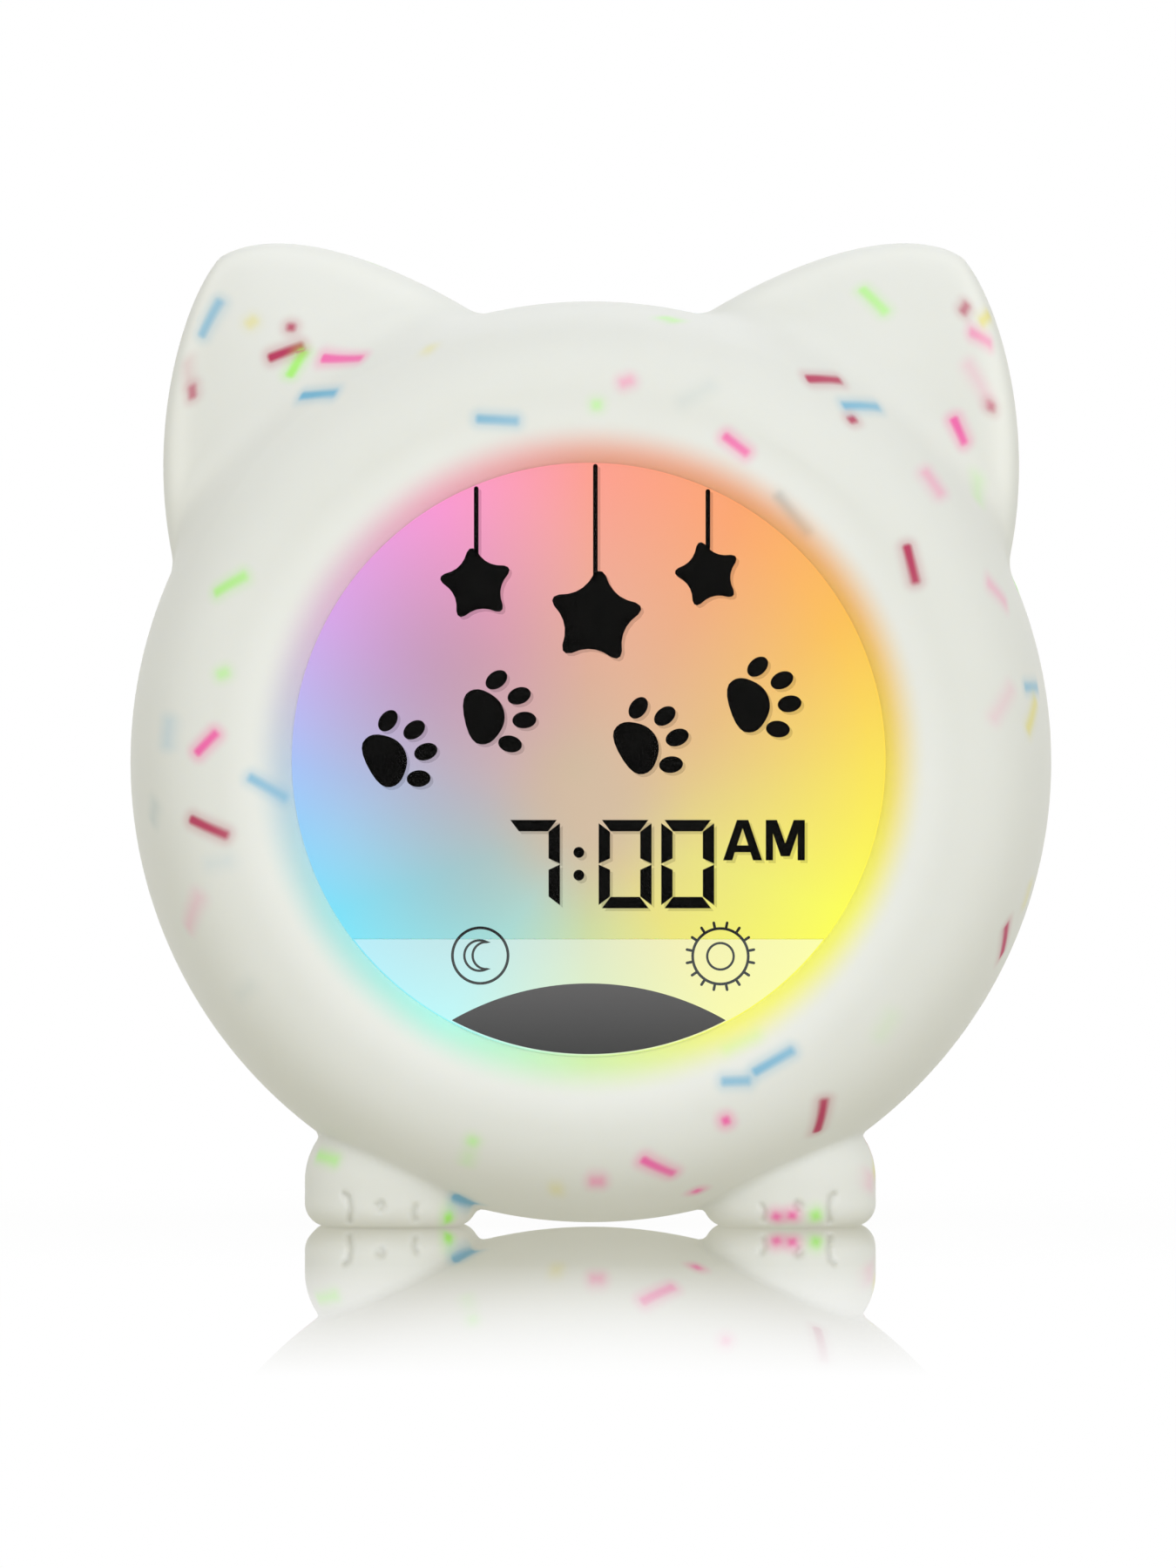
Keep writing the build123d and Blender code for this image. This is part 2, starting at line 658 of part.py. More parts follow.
with BuildPart() as rear_case:
    add(module_outside)
    add(module_inside, mode=Mode.SUBTRACT)
    split(bisect_by=parting_plane, keep=Keep.BOTTOM)
    add(rear_posts.part)
    with BuildSketch(turning_plane) as tongue:
        with Locations((tongue_outer - tongue_wall, parting - tongue_height)):
            Rectangle(tongue_wall, 2 * tongue_height + tongue_root, align=Align.MIN)
        with Locations((tongue_outer - tongue_wall, parting)):
            Rectangle(tongue_wall + case_wall / 2, tongue_height + tongue_root, align=Align.MIN)
    revolve(tongue.sketch, axis=dial_axis)
    # the cell's bed
    with BuildSketch(Plane.YZ.offset(-cell_length / 2 - cell_gap)) as cell_bed:
        with Locations((cell_depth, dial_height + cell_height)):
            Circle(cell_radius + cell_gap)
    extrude(cell_bed.sketch, amount=cell_length + 2 * cell_gap, mode=Mode.SUBTRACT)
    # case screws: a well down to each head, and a clear hole through the web
    discs(case_screw_seat, rear_crest, case_screw_head_radius + well_gap, case_screw_places, Mode.SUBTRACT)
    discs(0, case_screw_seat, case_screw_radius + board_hole_fit, case_screw_places, Mode.SUBTRACT)
    # pilot holes
    small_pilot = small_screw_radius + screw_fit
    board_pilot = small_screw_length - board_thickness + screw_tip_gap
    discs(board_back, board_back + board_pilot, small_pilot, board_posts, Mode.SUBTRACT)
    clamp_pilot = small_screw_length - clamp_wall + screw_tip_gap
    discs(cell_depth, cell_depth + clamp_pilot, small_pilot, clamp_posts, Mode.SUBTRACT)
    usb_pilot = small_screw_length - usb_board_thickness + screw_tip_gap
    discs(usb_board_back, usb_board_back + usb_pilot, small_pilot, usb_posts, Mode.SUBTRACT)
    speaker_pilot = speaker_screw_length + short_screw_tip_gap
    discs(
        speaker_flange_front, speaker_flange_front + speaker_pilot, small_pilot, speaker_posts, Mode.SUBTRACT
    )
    power_boss_front = panel_inner - power_boss_height
    power_pilot = power_screw_length - power_tab_thickness + short_screw_tip_gap
    discs(power_boss_front, power_boss_front + power_pilot, small_pilot, power_posts, Mode.SUBTRACT)
    # openings in the panel
    discs(panel_inner, panel_face, button_radius + button_hole_gap, button_places, Mode.SUBTRACT)
    with BuildSketch(dial_plane(panel_face)) as grille:
        with Locations((0, speaker_height)):
            Circle(grille_hole_radius)
            for ring in range(1, grille_ring_count + 1):
                with PolarLocations(ring * grille_pitch, ring * grille_ring_holes):
                    Circle(grille_hole_radius)
    extrude(grille.sketch, amount=rear_panel_thickness, mode=Mode.SUBTRACT)
    with BuildSketch(dial_plane(panel_face)) as usb_slot:
        with Locations((usb_across, port_height)):
            SlotOverall(usb_width + 2 * usb_gap, usb_thickness + 2 * usb_gap)
    extrude(usb_slot.sketch, amount=rear_panel_thickness, mode=Mode.SUBTRACT)
    blocks(
        panel_inner, panel_face, power_knob_length + power_travel + 2 * power_slot_gap,
        power_knob_height + 2 * power_slot_gap, [(power_across, port_height)], Mode.SUBTRACT,
    )
save(rear_case, "rear_case")

case_screws = screw_set(
    case_screw_places, case_screw_seat, case_screw_length, case_screw_radius, case_screw_head_radius,
    case_screw_head, driven=-1,
)
save(case_screws, "case_screws")

# ---------------------------------------------------------------- main board
with BuildPart() as main_board:
    with BuildSketch(dial_plane(board_back)):
        Circle(board_radius)
        with Locations((0, -board_bottom)):
            Rectangle(
                2 * board_radius, 2 * board_radius, align=(Align.CENTER, Align.MIN), mode=Mode.INTERSECT
            )
        with Locations(*board_posts):
            Circle(small_screw_radius + board_hole_fit, mode=Mode.SUBTRACT)
    extrude(amount=board_thickness)
save(main_board, "main_board")

with BuildPart() as main_chips:
    blocks(board_depth - chip_height, board_depth, controller_size, controller_size, [controller_place])
    blocks(board_depth - chip_height, board_depth, amplifier_length, amplifier_width, [amplifier_place])
    blocks(board_depth - chip_height, board_depth, memory_length, memory_width, [memory_place])
save(main_chips, "main_chips")

with BuildPart() as capacitors:
    discs(board_depth - capacitor_height, board_depth, capacitor_radius, capacitor_places)
    fillet(capacitors.faces().group_by(Axis.Y)[0].edges(), capacitor_round)
save(capacitors, "capacitors")

socket_places = [(side * across, socket_row) for side in (-1, 1) for across in (socket_inner, socket_outer)]
with BuildPart() as board_sockets:
    blocks(board_depth - socket_height, board_depth, socket_width, socket_depth, socket_places)
    blocks(
        board_depth - socket_height, board_depth - socket_floor, socket_width - 2 * socket_wall,
        socket_depth - 2 * socket_wall, socket_places, Mode.SUBTRACT,
    )
save(board_sockets, "board_sockets")

board_screws = screw_set(
    board_posts, board_depth, small_screw_length, small_screw_radius, small_screw_head_radius,
    small_screw_head, driven=1,
)
save(board_screws, "board_screws")

# ---------------------------------------------------------------- buttons and their switches
plunger_bottom = plunger_top - plunger_proud - plunger_sunk
with BuildPart() as tact_switches:
    blocks(board_back, board_back + switch_can_height, switch_can, switch_can, button_places)
    discs(
        plunger_bottom - button_travel - plunger_overtravel, board_back + switch_can_height,
        plunger_radius + plunger_gap, button_places, Mode.SUBTRACT,
    )
save(tact_switches, "tact_switches")

for column, names in zip((-button_column, button_column), button_names):
    for row, name in zip(button_rows, names):
        place = [(column, row)]
        with BuildPart() as button:
            discs(flange_back, panel_face + button_proud, button_radius, place)
            fillet(button.faces().sort_by(Axis.Y)[-1].edges(), button_crown)
            discs(flange_back - button_flange, flange_back, button_flange_radius, place)
            discs(plunger_top, flange_back - button_flange, button_post_radius, place)
        save(button, f"button_{name}")
        with BuildPart() as plunger:
            discs(plunger_bottom, plunger_top, plunger_radius, place)
            chamfer(plunger.faces().sort_by(Axis.Y)[-1].edges(), plunger_chamfer)
        save(plunger, f"plunger_{name}")

# ---------------------------------------------------------------- speaker
speaker_plane = Plane.XY.offset(dial_height + speaker_height)
speaker_axis = Axis((0, 0, dial_height + speaker_height), (0, 1, 0))
speaker_back = panel_inner - speaker_gasket
magnet_front = speaker_back - speaker_depth
magnet_back = magnet_front + speaker_magnet_height
ledge_back = speaker_flange_front + speaker_ledge
throat_radius = speaker_magnet_radius + speaker_frame_wall
cone_rim_back = ledge_back + speaker_cone_wall

with BuildPart() as speaker_basket:
    with BuildSketch(speaker_plane):
        with BuildLine():
            Polyline(
                (0, magnet_back), (throat_radius, magnet_back), (speaker_throat_edge, speaker_flange_front),
                (speaker_radius, speaker_flange_front), (speaker_radius, speaker_back),
                (speaker_ledge_radius, speaker_back), (speaker_ledge_radius, ledge_back),
                (speaker_throat_edge - speaker_frame_wall, ledge_back),
                (throat_radius - speaker_frame_wall, magnet_back + speaker_frame_wall),
                (0, magnet_back + speaker_frame_wall), (0, magnet_back),
            )
        make_face()
    revolve(axis=speaker_axis)
save(speaker_basket, "speaker_basket")

with BuildPart() as speaker_cone:
    with BuildSketch(speaker_plane):
        with BuildLine():
            outer_rim = speaker_ledge_radius - slide_fit
            inner_rim = speaker_throat_edge - speaker_frame_wall
            dome_level = magnet_back + speaker_dome_lift
            Polyline(
                (0, dome_level + speaker_dome_height), (speaker_dome_radius, dome_level),
                (inner_rim, ledge_back), (outer_rim, ledge_back), (outer_rim, cone_rim_back),
                (inner_rim - speaker_cone_wall, cone_rim_back),
                (speaker_dome_radius, dome_level + 2 * speaker_cone_wall),
                (0, dome_level + speaker_dome_height + speaker_cone_wall),
                (0, dome_level + speaker_dome_height),
            )
        make_face()
    revolve(axis=speaker_axis)
save(speaker_cone, "speaker_cone")

speaker_centre = [(0, speaker_height)]
with BuildPart() as speaker_magnet:
    discs(magnet_front, magnet_back, speaker_magnet_radius, speaker_centre)
    chamfer(speaker_magnet.faces().sort_by(Axis.Y)[0].edges(), magnet_chamfer)
save(speaker_magnet, "speaker_magnet")

with BuildPart() as speaker_seal:
    discs(speaker_back, panel_inner, speaker_radius, speaker_centre)
    discs(speaker_back, panel_inner, speaker_radius - speaker_gasket_width, speaker_centre, Mode.SUBTRACT)
save(speaker_seal, "speaker_seal")

speaker_screws = screw_set(
    speaker_posts, speaker_flange_front, speaker_screw_length, small_screw_radius, clamp_screw_head_radius,
    small_screw_head, driven=1,
)
save(speaker_screws, "speaker_screws")

# ---------------------------------------------------------------- battery
with BuildPart() as battery_cell:
    with BuildSketch(Plane.YZ.offset(-cell_length / 2)):
        with Locations((cell_depth, dial_height + cell_height)):
            Circle(cell_radius)
    extrude(amount=cell_length - cell_button_height)
    fillet(battery_cell.edges().filter_by(GeomType.CIRCLE), cell_round)
    with BuildSketch(Plane.YZ.offset(cell_length / 2 - cell_button_height)):
        with Locations((cell_depth, dial_height + cell_height)):
            Circle(cell_button_radius)
    extrude(amount=cell_button_height)
save(battery_cell, "battery_cell")

with BuildPart() as battery_clamp:
    with BuildSketch(Plane.YZ.offset(-clamp_width / 2)):
        bore = cell_radius + cell_gap
        with Locations((cell_depth, dial_height + cell_height)):
            Circle(bore + clamp_wall)
            Rectangle(clamp_wall, 2 * (clamp_span + clamp_foot / 2), align=(Align.MAX, Align.CENTER))
            Circle(bore, mode=Mode.SUBTRACT)
            Rectangle(
                2 * bore + 2 * clamp_wall, 2 * bore + 2 * clamp_wall, align=(Align.MIN, Align.CENTER),
                mode=Mode.SUBTRACT,
            )
    extrude(amount=clamp_width)
    clamp_hole = small_screw_radius + board_hole_fit
    discs(cell_depth - clamp_wall, cell_depth, clamp_hole, clamp_posts, Mode.SUBTRACT)
    fillet(battery_clamp.edges().filter_by(Axis.Y).group_by(SortBy.LENGTH)[0], clamp_corner)
save(battery_clamp, "battery_clamp")

clamp_screws = screw_set(
    clamp_posts, cell_depth - clamp_wall, small_screw_length, small_screw_radius, small_screw_head_radius,
    small_screw_head, driven=1,
)
save(clamp_screws, "clamp_screws")

# ---------------------------------------------------------------- USB-C socket and its board
with BuildPart() as usb_board:
    blocks(
        usb_board_front, usb_board_back, usb_board_width, usb_board_height, [(usb_across, usb_board_centre)]
    )
    discs(usb_board_front, usb_board_back, small_screw_radius + board_hole_fit, usb_posts, Mode.SUBTRACT)
save(usb_board, "usb_board")

with BuildPart() as usb_socket:
    with BuildSketch(dial_plane(usb_mouth)):
        with Locations((usb_across, port_height)):
            SlotOverall(usb_width, usb_thickness)
    extrude(amount=usb_length)
    with BuildSketch(dial_plane(usb_mouth)):
        with Locations((usb_across, port_height)):
            SlotOverall(usb_width - 2 * usb_wall, usb_thickness - 2 * usb_wall)
            Rectangle(usb_tongue_width, usb_tongue, mode=Mode.SUBTRACT)
    extrude(amount=usb_length - usb_floor, mode=Mode.SUBTRACT)
    blocks(
        usb_mouth - usb_tongue_recess, usb_mouth, usb_tongue_width, usb_tongue, [(usb_across, port_height)],
        Mode.SUBTRACT,
    )
save(usb_socket, "usb_socket")

usb_screws = screw_set(
    usb_posts, usb_board_front, small_screw_length, small_screw_radius, small_screw_head_radius,
    small_screw_head, driven=1,
)
save(usb_screws, "usb_screws")

# ---------------------------------------------------------------- power switch
power_centre = [(power_across, port_height)]
power_body_front = panel_inner - power_body_depth
knob_base = panel_inner - power_knob_sunk
with BuildPart() as power_switch_body:
    blocks(power_body_front, panel_inner, power_body_length, power_body_height, power_centre)
    blocks(
        power_boss_front - power_tab_thickness, power_boss_front, power_body_length + 2 * power_tab,
        power_body_height - power_tab_trim, power_centre,
    )
    blocks(
        knob_base - power_well_gap, panel_inner, power_knob_length + power_travel + 2 * power_well_gap,
        power_knob_height + 2 * power_well_gap, power_centre, Mode.SUBTRACT,
    )
    discs(
        power_boss_front - power_tab_thickness, power_boss_front, small_screw_radius + power_hole_fit,
        power_posts, Mode.SUBTRACT,
    )
save(power_switch_body, "power_switch_body")

with BuildPart() as power_switch_knob:
    knob_place = [(power_across - power_travel / 2, port_height)]
    knob_face = panel_face + power_knob_proud
    blocks(knob_base, knob_face, power_knob_length, power_knob_height, knob_place)
    grip_places = [(power_across - power_travel / 2 + step * grip_pitch, port_height) for step in (-1, 0, 1)]
    blocks(knob_face - grip_depth, knob_face, grip_width, power_knob_height, grip_places, Mode.SUBTRACT)
save(power_switch_knob, "power_switch_knob")

power_screws = screw_set(
    power_posts, power_boss_front - power_tab_thickness, power_screw_length, small_screw_radius,
    small_screw_head_radius - power_head_trim, small_screw_head, driven=1,
)
save(power_screws, "power_screws")
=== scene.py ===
import functools
import itertools
import math

import bmesh
import bpy
import numpy as np
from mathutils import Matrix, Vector


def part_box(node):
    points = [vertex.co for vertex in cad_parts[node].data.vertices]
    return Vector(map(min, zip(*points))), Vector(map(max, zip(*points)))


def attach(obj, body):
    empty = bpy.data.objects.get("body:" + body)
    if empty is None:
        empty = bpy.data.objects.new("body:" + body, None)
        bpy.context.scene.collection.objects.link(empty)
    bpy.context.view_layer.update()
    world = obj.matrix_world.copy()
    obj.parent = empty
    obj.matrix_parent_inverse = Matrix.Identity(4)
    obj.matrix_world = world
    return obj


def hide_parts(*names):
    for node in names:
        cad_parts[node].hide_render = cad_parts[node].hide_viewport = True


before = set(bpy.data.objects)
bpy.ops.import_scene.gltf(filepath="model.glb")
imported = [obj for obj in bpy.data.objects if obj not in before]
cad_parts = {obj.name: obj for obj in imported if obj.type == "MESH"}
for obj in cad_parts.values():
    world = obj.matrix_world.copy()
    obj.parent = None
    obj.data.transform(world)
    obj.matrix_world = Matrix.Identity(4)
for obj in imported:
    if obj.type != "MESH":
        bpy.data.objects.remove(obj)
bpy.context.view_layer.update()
print("stage: frame loaded,", len(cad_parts), "nodes")

mm = 0.001
lensLow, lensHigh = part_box("window_lens")
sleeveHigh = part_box("silicone_sleeve")[1]
dialHeight = (lensLow.z + lensHigh.z) / 2 / mm
windowRadius = (lensHigh.x - lensLow.x) / 2 / mm
bodyRadius = sleeveHigh.x / mm - 0.01  # the skin keeps within the CAD sleeve's box
halfDepth = sleeveHigh.y / mm
lensFront = lensLow.y / mm
lensBack = lensHigh.y / mm
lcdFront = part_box("lcd_panel")[0].y / mm
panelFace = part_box("rear_case")[1].y / mm


def linear(hexColour, alpha=1.0):  # sRGB hex to linear light
    parts = [int(hexColour[i : i + 2], 16) / 255 for i in (1, 3, 5)]
    return (*[p / 12.92 if p <= 0.04045 else ((p + 0.055) / 1.055) ** 2.4 for p in parts], alpha)


rgba = {"out": 2, "data_type": "RGBA"}  # makes a mix node mix colours
eased = {"interpolation_type": "SMOOTHSTEP"}
times = {"operation": "MULTIPLY"}
length = {"out": "Value", "operation": "LENGTH"}


def addNode(tree, kind, inputs=(), out=0, **settings):  # one node with its settings and its links
    node = tree.nodes.new("ShaderNode" + kind)
    for name, value in settings.items():
        setattr(node, name, value)
    for name, value in inputs.items() if isinstance(inputs, dict) else enumerate(inputs):
        if isinstance(value, bpy.types.NodeSocket):
            tree.links.new(value, node.inputs[name])
        else:
            node.inputs[name].default_value = value
    return node.outputs[out] if node.outputs else node


def emptied(owner):  # empties the tree of a material or of the world, and gives back addNode for it
    owner.use_nodes = True
    owner.node_tree.nodes.clear()
    return functools.partial(addNode, owner.node_tree)


def newMaterial(name):  # a new material, addNode for its tree, and the place on the object
    material = bpy.data.materials.new(name)
    add = emptied(material)
    return material, add, add("TexCoord", out="Object")


def surfaced(material, surface):  # closes a material with a shader, or with the principled shader's inputs
    if isinstance(surface, dict):
        surface = addNode(material.node_tree, "BsdfPrincipled", surface)
    addNode(material.node_tree, "OutputMaterial", {"Surface": surface})
    return material


def mottled(add, place, scale, low, high, detail=2):  # two tones that noise mixes
    noise = add("TexNoise", {"Vector": place, "Scale": scale, "Detail": detail})
    return add("Mix", {0: noise, 6: linear(low), 7: linear(high)}, **rgba)


def addObject(name, data):
    added = bpy.data.objects.new(name, data)
    bpy.context.scene.collection.objects.link(added)
    return added


def addPiece(mesh, material):  # a finished mesh as a piece of the clock
    mesh.materials.append(material)
    piece = addObject(mesh.name, mesh)
    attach(piece, "clock")
    return piece


# The camera looks level and a little from the right, through a long lens.
view = {
    "aim": (-0.47, 0.0, 67.2),
    "distance": 3200.0,
    "turn": 0.7,
    "rise": 0.45,
    "height": 239.1,  # mm that the picture spans at the aim
    "film": 36.0,
}
lensData = bpy.data.cameras.new("camera")
lensData.sensor_fit = "VERTICAL"
lensData.sensor_height = view["film"]
lensData.lens = view["film"] * view["distance"] / view["height"]
lensData.clip_end = 20.0
camera = addObject("camera", lensData)
turn, rise = math.radians(view["turn"]), math.radians(view["rise"])
towards = Vector((math.sin(turn) * math.cos(rise), -math.cos(turn) * math.cos(rise), math.sin(rise)))
camera.location = Vector(view["aim"]) * mm + towards * view["distance"] * mm
camera.rotation_euler = (-towards).to_track_quat("-Z", "Y").to_euler()
bpy.context.scene.camera = camera
print("stage: camera placed")

# Colours of the light that the LEDs send through the opal frame, once round the dial from the left,
# anticlockwise: share of the turn and colour. They meet as a soft beige in the middle.
backlight = {
    "rim": [  # blues, then yellows, oranges, pinks and violet
        (0.0, "#96D0FD"), (0.056, "#75E4FE"), (0.15, "#8FFAFC"), (0.25, "#CDF3A6"), (0.35, "#FCFA62"),
        (0.444, "#FEFE58"), (0.528, "#FDE557"), (0.606, "#FEC157"), (0.679, "#FEA66F"), (0.75, "#FF9F90"),
        (0.821, "#FE9AD5"), (0.894, "#E3ACF4"), (0.972, "#A7C6FD"), (1.0, "#96D0FD"),
    ],
    "hub": 9.0,  # mm below the dial's middle, where the colours' sectors meet
    "hubReach": 17.0,  # around it they melt into the middle's colour
    "middle": "#D6BDA2",
    "middlePlace": (-2.0, -2.0),
    "spread": 0.97,  # how fast the middle turns into the rim
    "shades": (  # dimmer parts: place, reach and depth
        ((-23.0, 13.0), 32.0, 0.24),
        ((-18.0, -20.0), 24.0, 0.12),
    ),
    "bandWhite": 0.34,  # white veil of the touch film
}


def dialPlace(add, place):  # in mm: place about the hub, distance from the dial's middle, place on the dial
    scale, shift = (1 / mm, 0, 1 / mm), (0, 0, -dialHeight)
    flat = add("VectorMath", [place, scale, shift], operation="MULTIPLY_ADD")
    parts = add("SeparateXYZ", [flat]).node.outputs
    lifted = add("Math", [parts["Z"], backlight["hub"]], operation="ADD")
    turned = add("CombineXYZ", [parts["X"], lifted])
    radius = add("VectorMath", [flat], **length)
    return turned, radius, flat


def rimColour(add, turned):
    around = add("TexGradient", [turned], out="Fac", gradient_type="RADIAL")
    ramp = add("ValToRGB", [around]).node
    stops = ramp.color_ramp.elements
    stops[0].color = linear(backlight["rim"][0][1])
    stops[1].color = linear(backlight["rim"][-1][1])
    for share, colour in backlight["rim"][1:-1]:
        stops.new(share).color = linear(colour)
    return ramp.outputs["Color"]


def backlitGlass(name, veil, roughness):  # glowing layer of the display, its colour set by place
    material, add, place = newMaterial(name)
    turned, _, flat = dialPlace(add, place)
    x, z = backlight["middlePlace"]
    away = add("VectorMath", [flat, (x, 0, z)], out="Value", operation="DISTANCE")
    share = add("Math", [away, windowRadius], operation="DIVIDE", use_clamp=True)
    share = add("Math", [share, backlight["spread"]], operation="POWER")
    fromHub = add("VectorMath", [turned], **length)
    melted = add("MapRange", [fromHub, 0.0, backlight["hubReach"]], **eased)
    share = add("Math", [share, melted], **times)
    inputs = {0: share, 6: linear(backlight["middle"]), 7: rimColour(add, turned)}
    colour = add("Mix", inputs, **rgba)
    for (x, z), reach, depth in backlight["shades"]:
        away = add("VectorMath", [flat, (x, 0, z)], out="Value", operation="DISTANCE")
        dim = add("MapRange", [away, 0.0, reach, 1 - depth, 1.0], **eased)
        colour = add("VectorMath", [colour, dim], **times)
    if veil:
        colour = add("Mix", {0: veil, 6: colour, 7: linear("#FFFFFF")}, **rgba)
    inputs = {"Base Color": linear("#0C0C0C"), "Roughness": roughness, "Specular IOR Level": 0.1}
    return surfaced(material, inputs | {"Emission Color": colour, "Emission Strength": 1.0})


# Silicone sleeve, in mm about the dial's middle: its form is the CAD sleeve's own.
sleeve = {
    "rims": ((53.5, 2.7, 2.5), (56.0, 2.5, 2.8)),  # front and rear: crest's radius, lip's height, fullness
    "bodySag": 0.5,  # the soft skin hangs this much lower than the window
    "windowGap": 0.2,
    "panelRadius": 50.15,
    "fit": 0.15,
    "shoulder": 53.0,
    "wall": 5.85,
    "rearSeat": 28.65,
    "earLean": 48.3,
    "earRoot": 40.0,
    "earTip": 94.6,
    "earOffset": 0.65,
    "earShift": (7.8, 2.4),  # how far the tip leans, and how late
    "earHalfWidth": 35.3,
    "earHalfThickness": 26.5,
    "earTaper": (1.78, 0.65, 0.48),  # how the width narrows, two numbers, and the thickness
    "earBlends": (1.4, 14.0),  # beside the ear, and in front of and behind it
    "earBlendDepth": (5, 25),  # mm before and behind the middle, where it begins to widen and where it ends
    "pawCentre": 30.3,
    "pawHalfWidth": 13.1,
    "pawHalfLength": 22.0,
    "pawHeight": 18.0,
    "pawCorner": 12.0,
    "pawTopRound": 11.0,
    "soleRound": 3.6,
    "pawBlend": 1.2,
    "toeWidth": 0.5,
    "toeReach": 8,  # no crease is higher up than this or further back
    "toeCreases": (  # grooves between the toes, from the outer side in: depth, and bends across and up
        (0.6, ((37.1, 5.2), (36.5, 4.7), (36.2, 3.0), (36.4, 1.2))),
        (0.5, ((32.1, 3.6), (31.5, 4.0), (31.2, 3.5), (31.6, 2.9))),
        (0.5, ((26.2, 3.5), (26.6, 2.6), (26.4, 1.4))),
    ),
    "cell": 0.75,  # spacing of the grid that the surface is found on
    "fineCell": 0.4,
    "fine": (  # where it is closer across, in depth and in height: the toes and the lip at the window
        ((-39.0, -24.0), (24.0, 39.0)),
        ((-34.5, -29.0), (-23.0, -18.0)),
        ((-73.0, -64.0),),
    ),
}


def smoothUnion(a, b, width):
    near = np.maximum(width - np.abs(a - b), 0) / width
    return np.minimum(a, b) - near * near * width / 4


def roundedOverlap(a, b, radius):  # where both hold, with a rounded edge
    outside = np.hypot(np.maximum(radius + a, 0), np.maximum(radius + b, 0))
    return outside + np.minimum(-radius, np.maximum(a, b))


def swollenRing(radius, depth, crest, widest, height, fullness):  # super-ellipse turned about the dial's axis
    across = np.maximum(radius - crest, 1e-6) / (widest - crest)
    along = np.abs(depth) / height
    size = (across**fullness + along**fullness) ** (1 / fullness) + 1e-9
    slopeAcross = (across / size) ** (fullness - 1) / (widest - crest)
    slopeAlong = (along / size) ** (fullness - 1) / height
    return (size - 1) / np.maximum(np.hypot(slopeAcross, slopeAlong), 1e-3)


def bodyField(x, y, z):
    radius = np.hypot(x, z)
    crest = sleeve["rims"][0][0]
    skirt = np.clip((radius - crest) / (bodyRadius - crest), 0, 1)
    radius = radius + sleeve["bodySag"] * skirt * z / np.maximum(radius, 1)
    openings = ((windowRadius + sleeve["windowGap"], -lensFront), (sleeve["panelRadius"], panelFace))
    halves = []
    for (crest, lip, fullness), (opening, face) in zip(sleeve["rims"], openings):
        slack = np.clip((crest - radius) / (crest - opening), 0, 1)
        height = face + lip * np.sqrt(1 - slack**2)
        halves.append(swollenRing(radius, y, crest, bodyRadius, height, fullness))
    return np.where(y < 0, *halves)


def earField(x, y, z):
    lean = math.radians(sleeve["earLean"])
    along = np.abs(x) * math.cos(lean) + z * math.sin(lean)
    across = z * math.cos(lean) - np.abs(x) * math.sin(lean)
    root, tip = sleeve["earRoot"], sleeve["earTip"]
    share = np.clip((along - root) / (tip - root), 0, 0.999)
    power, narrowing, thinning = sleeve["earTaper"]
    halfWidth = sleeve["earHalfWidth"] * (1 - share**power) ** narrowing
    halfThickness = sleeve["earHalfThickness"] * (1 - share) ** thinning
    shift, late = sleeve["earShift"]
    across = across - sleeve["earOffset"] - shift * share**late
    size = np.hypot(across / halfWidth, y / halfThickness) + 1e-6
    slope = np.hypot(across / halfWidth**2, y / halfThickness**2) / size
    return np.maximum((size - 1) / np.maximum(slope, 1e-3), along - tip)


def pawField(x, y, z):
    above = z + dialHeight
    corner = sleeve["pawCorner"]
    across = np.abs(np.abs(x) - sleeve["pawCentre"]) - sleeve["pawHalfWidth"] + corner
    along = np.abs(y) - sleeve["pawHalfLength"] + corner
    plan = np.hypot(np.maximum(across, 0), np.maximum(along, 0)) - corner
    plan = plan + np.minimum(np.maximum(across, along), 0)
    sole = roundedOverlap(plan, -above, sleeve["soleRound"])
    return roundedOverlap(sole, above - sleeve["pawHeight"], sleeve["pawTopRound"])


def creaseDepth(x, y, z):  # of the grooves between the toes, on the front of each paw
    deepest = np.zeros_like(x)
    near = (y < -sleeve["toeReach"]) & (z + dialHeight < sleeve["toeReach"])
    across, above = np.abs(x[near]), z[near] + dialHeight
    for depth, bends in sleeve["toeCreases"]:
        for (x0, z0), (x1, z1) in zip(bends, bends[1:]):
            a, b = x1 - x0, z1 - z0
            share = np.clip(((across - x0) * a + (above - z0) * b) / (a**2 + b**2), 0, 1)
            gap = np.hypot(across - x0 - share * a, above - z0 - share * b)
            deepest[near] = np.maximum(deepest[near], depth * np.exp(-((gap / sleeve["toeWidth"]) ** 2)))
    return deepest


def moduleField(x, y, z):  # the space that the clock's module fills
    radius = np.hypot(x, z)
    front = -lensBack + sleeve["fit"]
    height = np.where(y < 0, front, sleeve["rearSeat"])
    case = swollenRing(radius, y, sleeve["shoulder"], bodyRadius - sleeve["wall"], height, 2.0)
    window = np.maximum(radius - windowRadius - sleeve["windowGap"], y)
    panel = np.maximum(radius - sleeve["panelRadius"], -y)
    return np.minimum(case, np.minimum(window, panel))


def sleeveField(points):
    x, y, z = points
    blend = np.interp(np.abs(y), sleeve["earBlendDepth"], sleeve["earBlends"])
    skin = smoothUnion(bodyField(x, y, z), earField(x, y, z), blend)
    skin = smoothUnion(skin, pawField(x, y, z), sleeve["pawBlend"])
    return np.maximum(skin + creaseDepth(x, y, z), -moduleField(x, y, z))


def fieldSlope(points, step=0.03):
    slopes = []
    for axis in range(3):
        shift = np.zeros((3, 1))
        shift[axis] = step
        slopes.append((sleeveField(points + shift) - sleeveField(points - shift)) / (2 * step))
    return np.array(slopes)


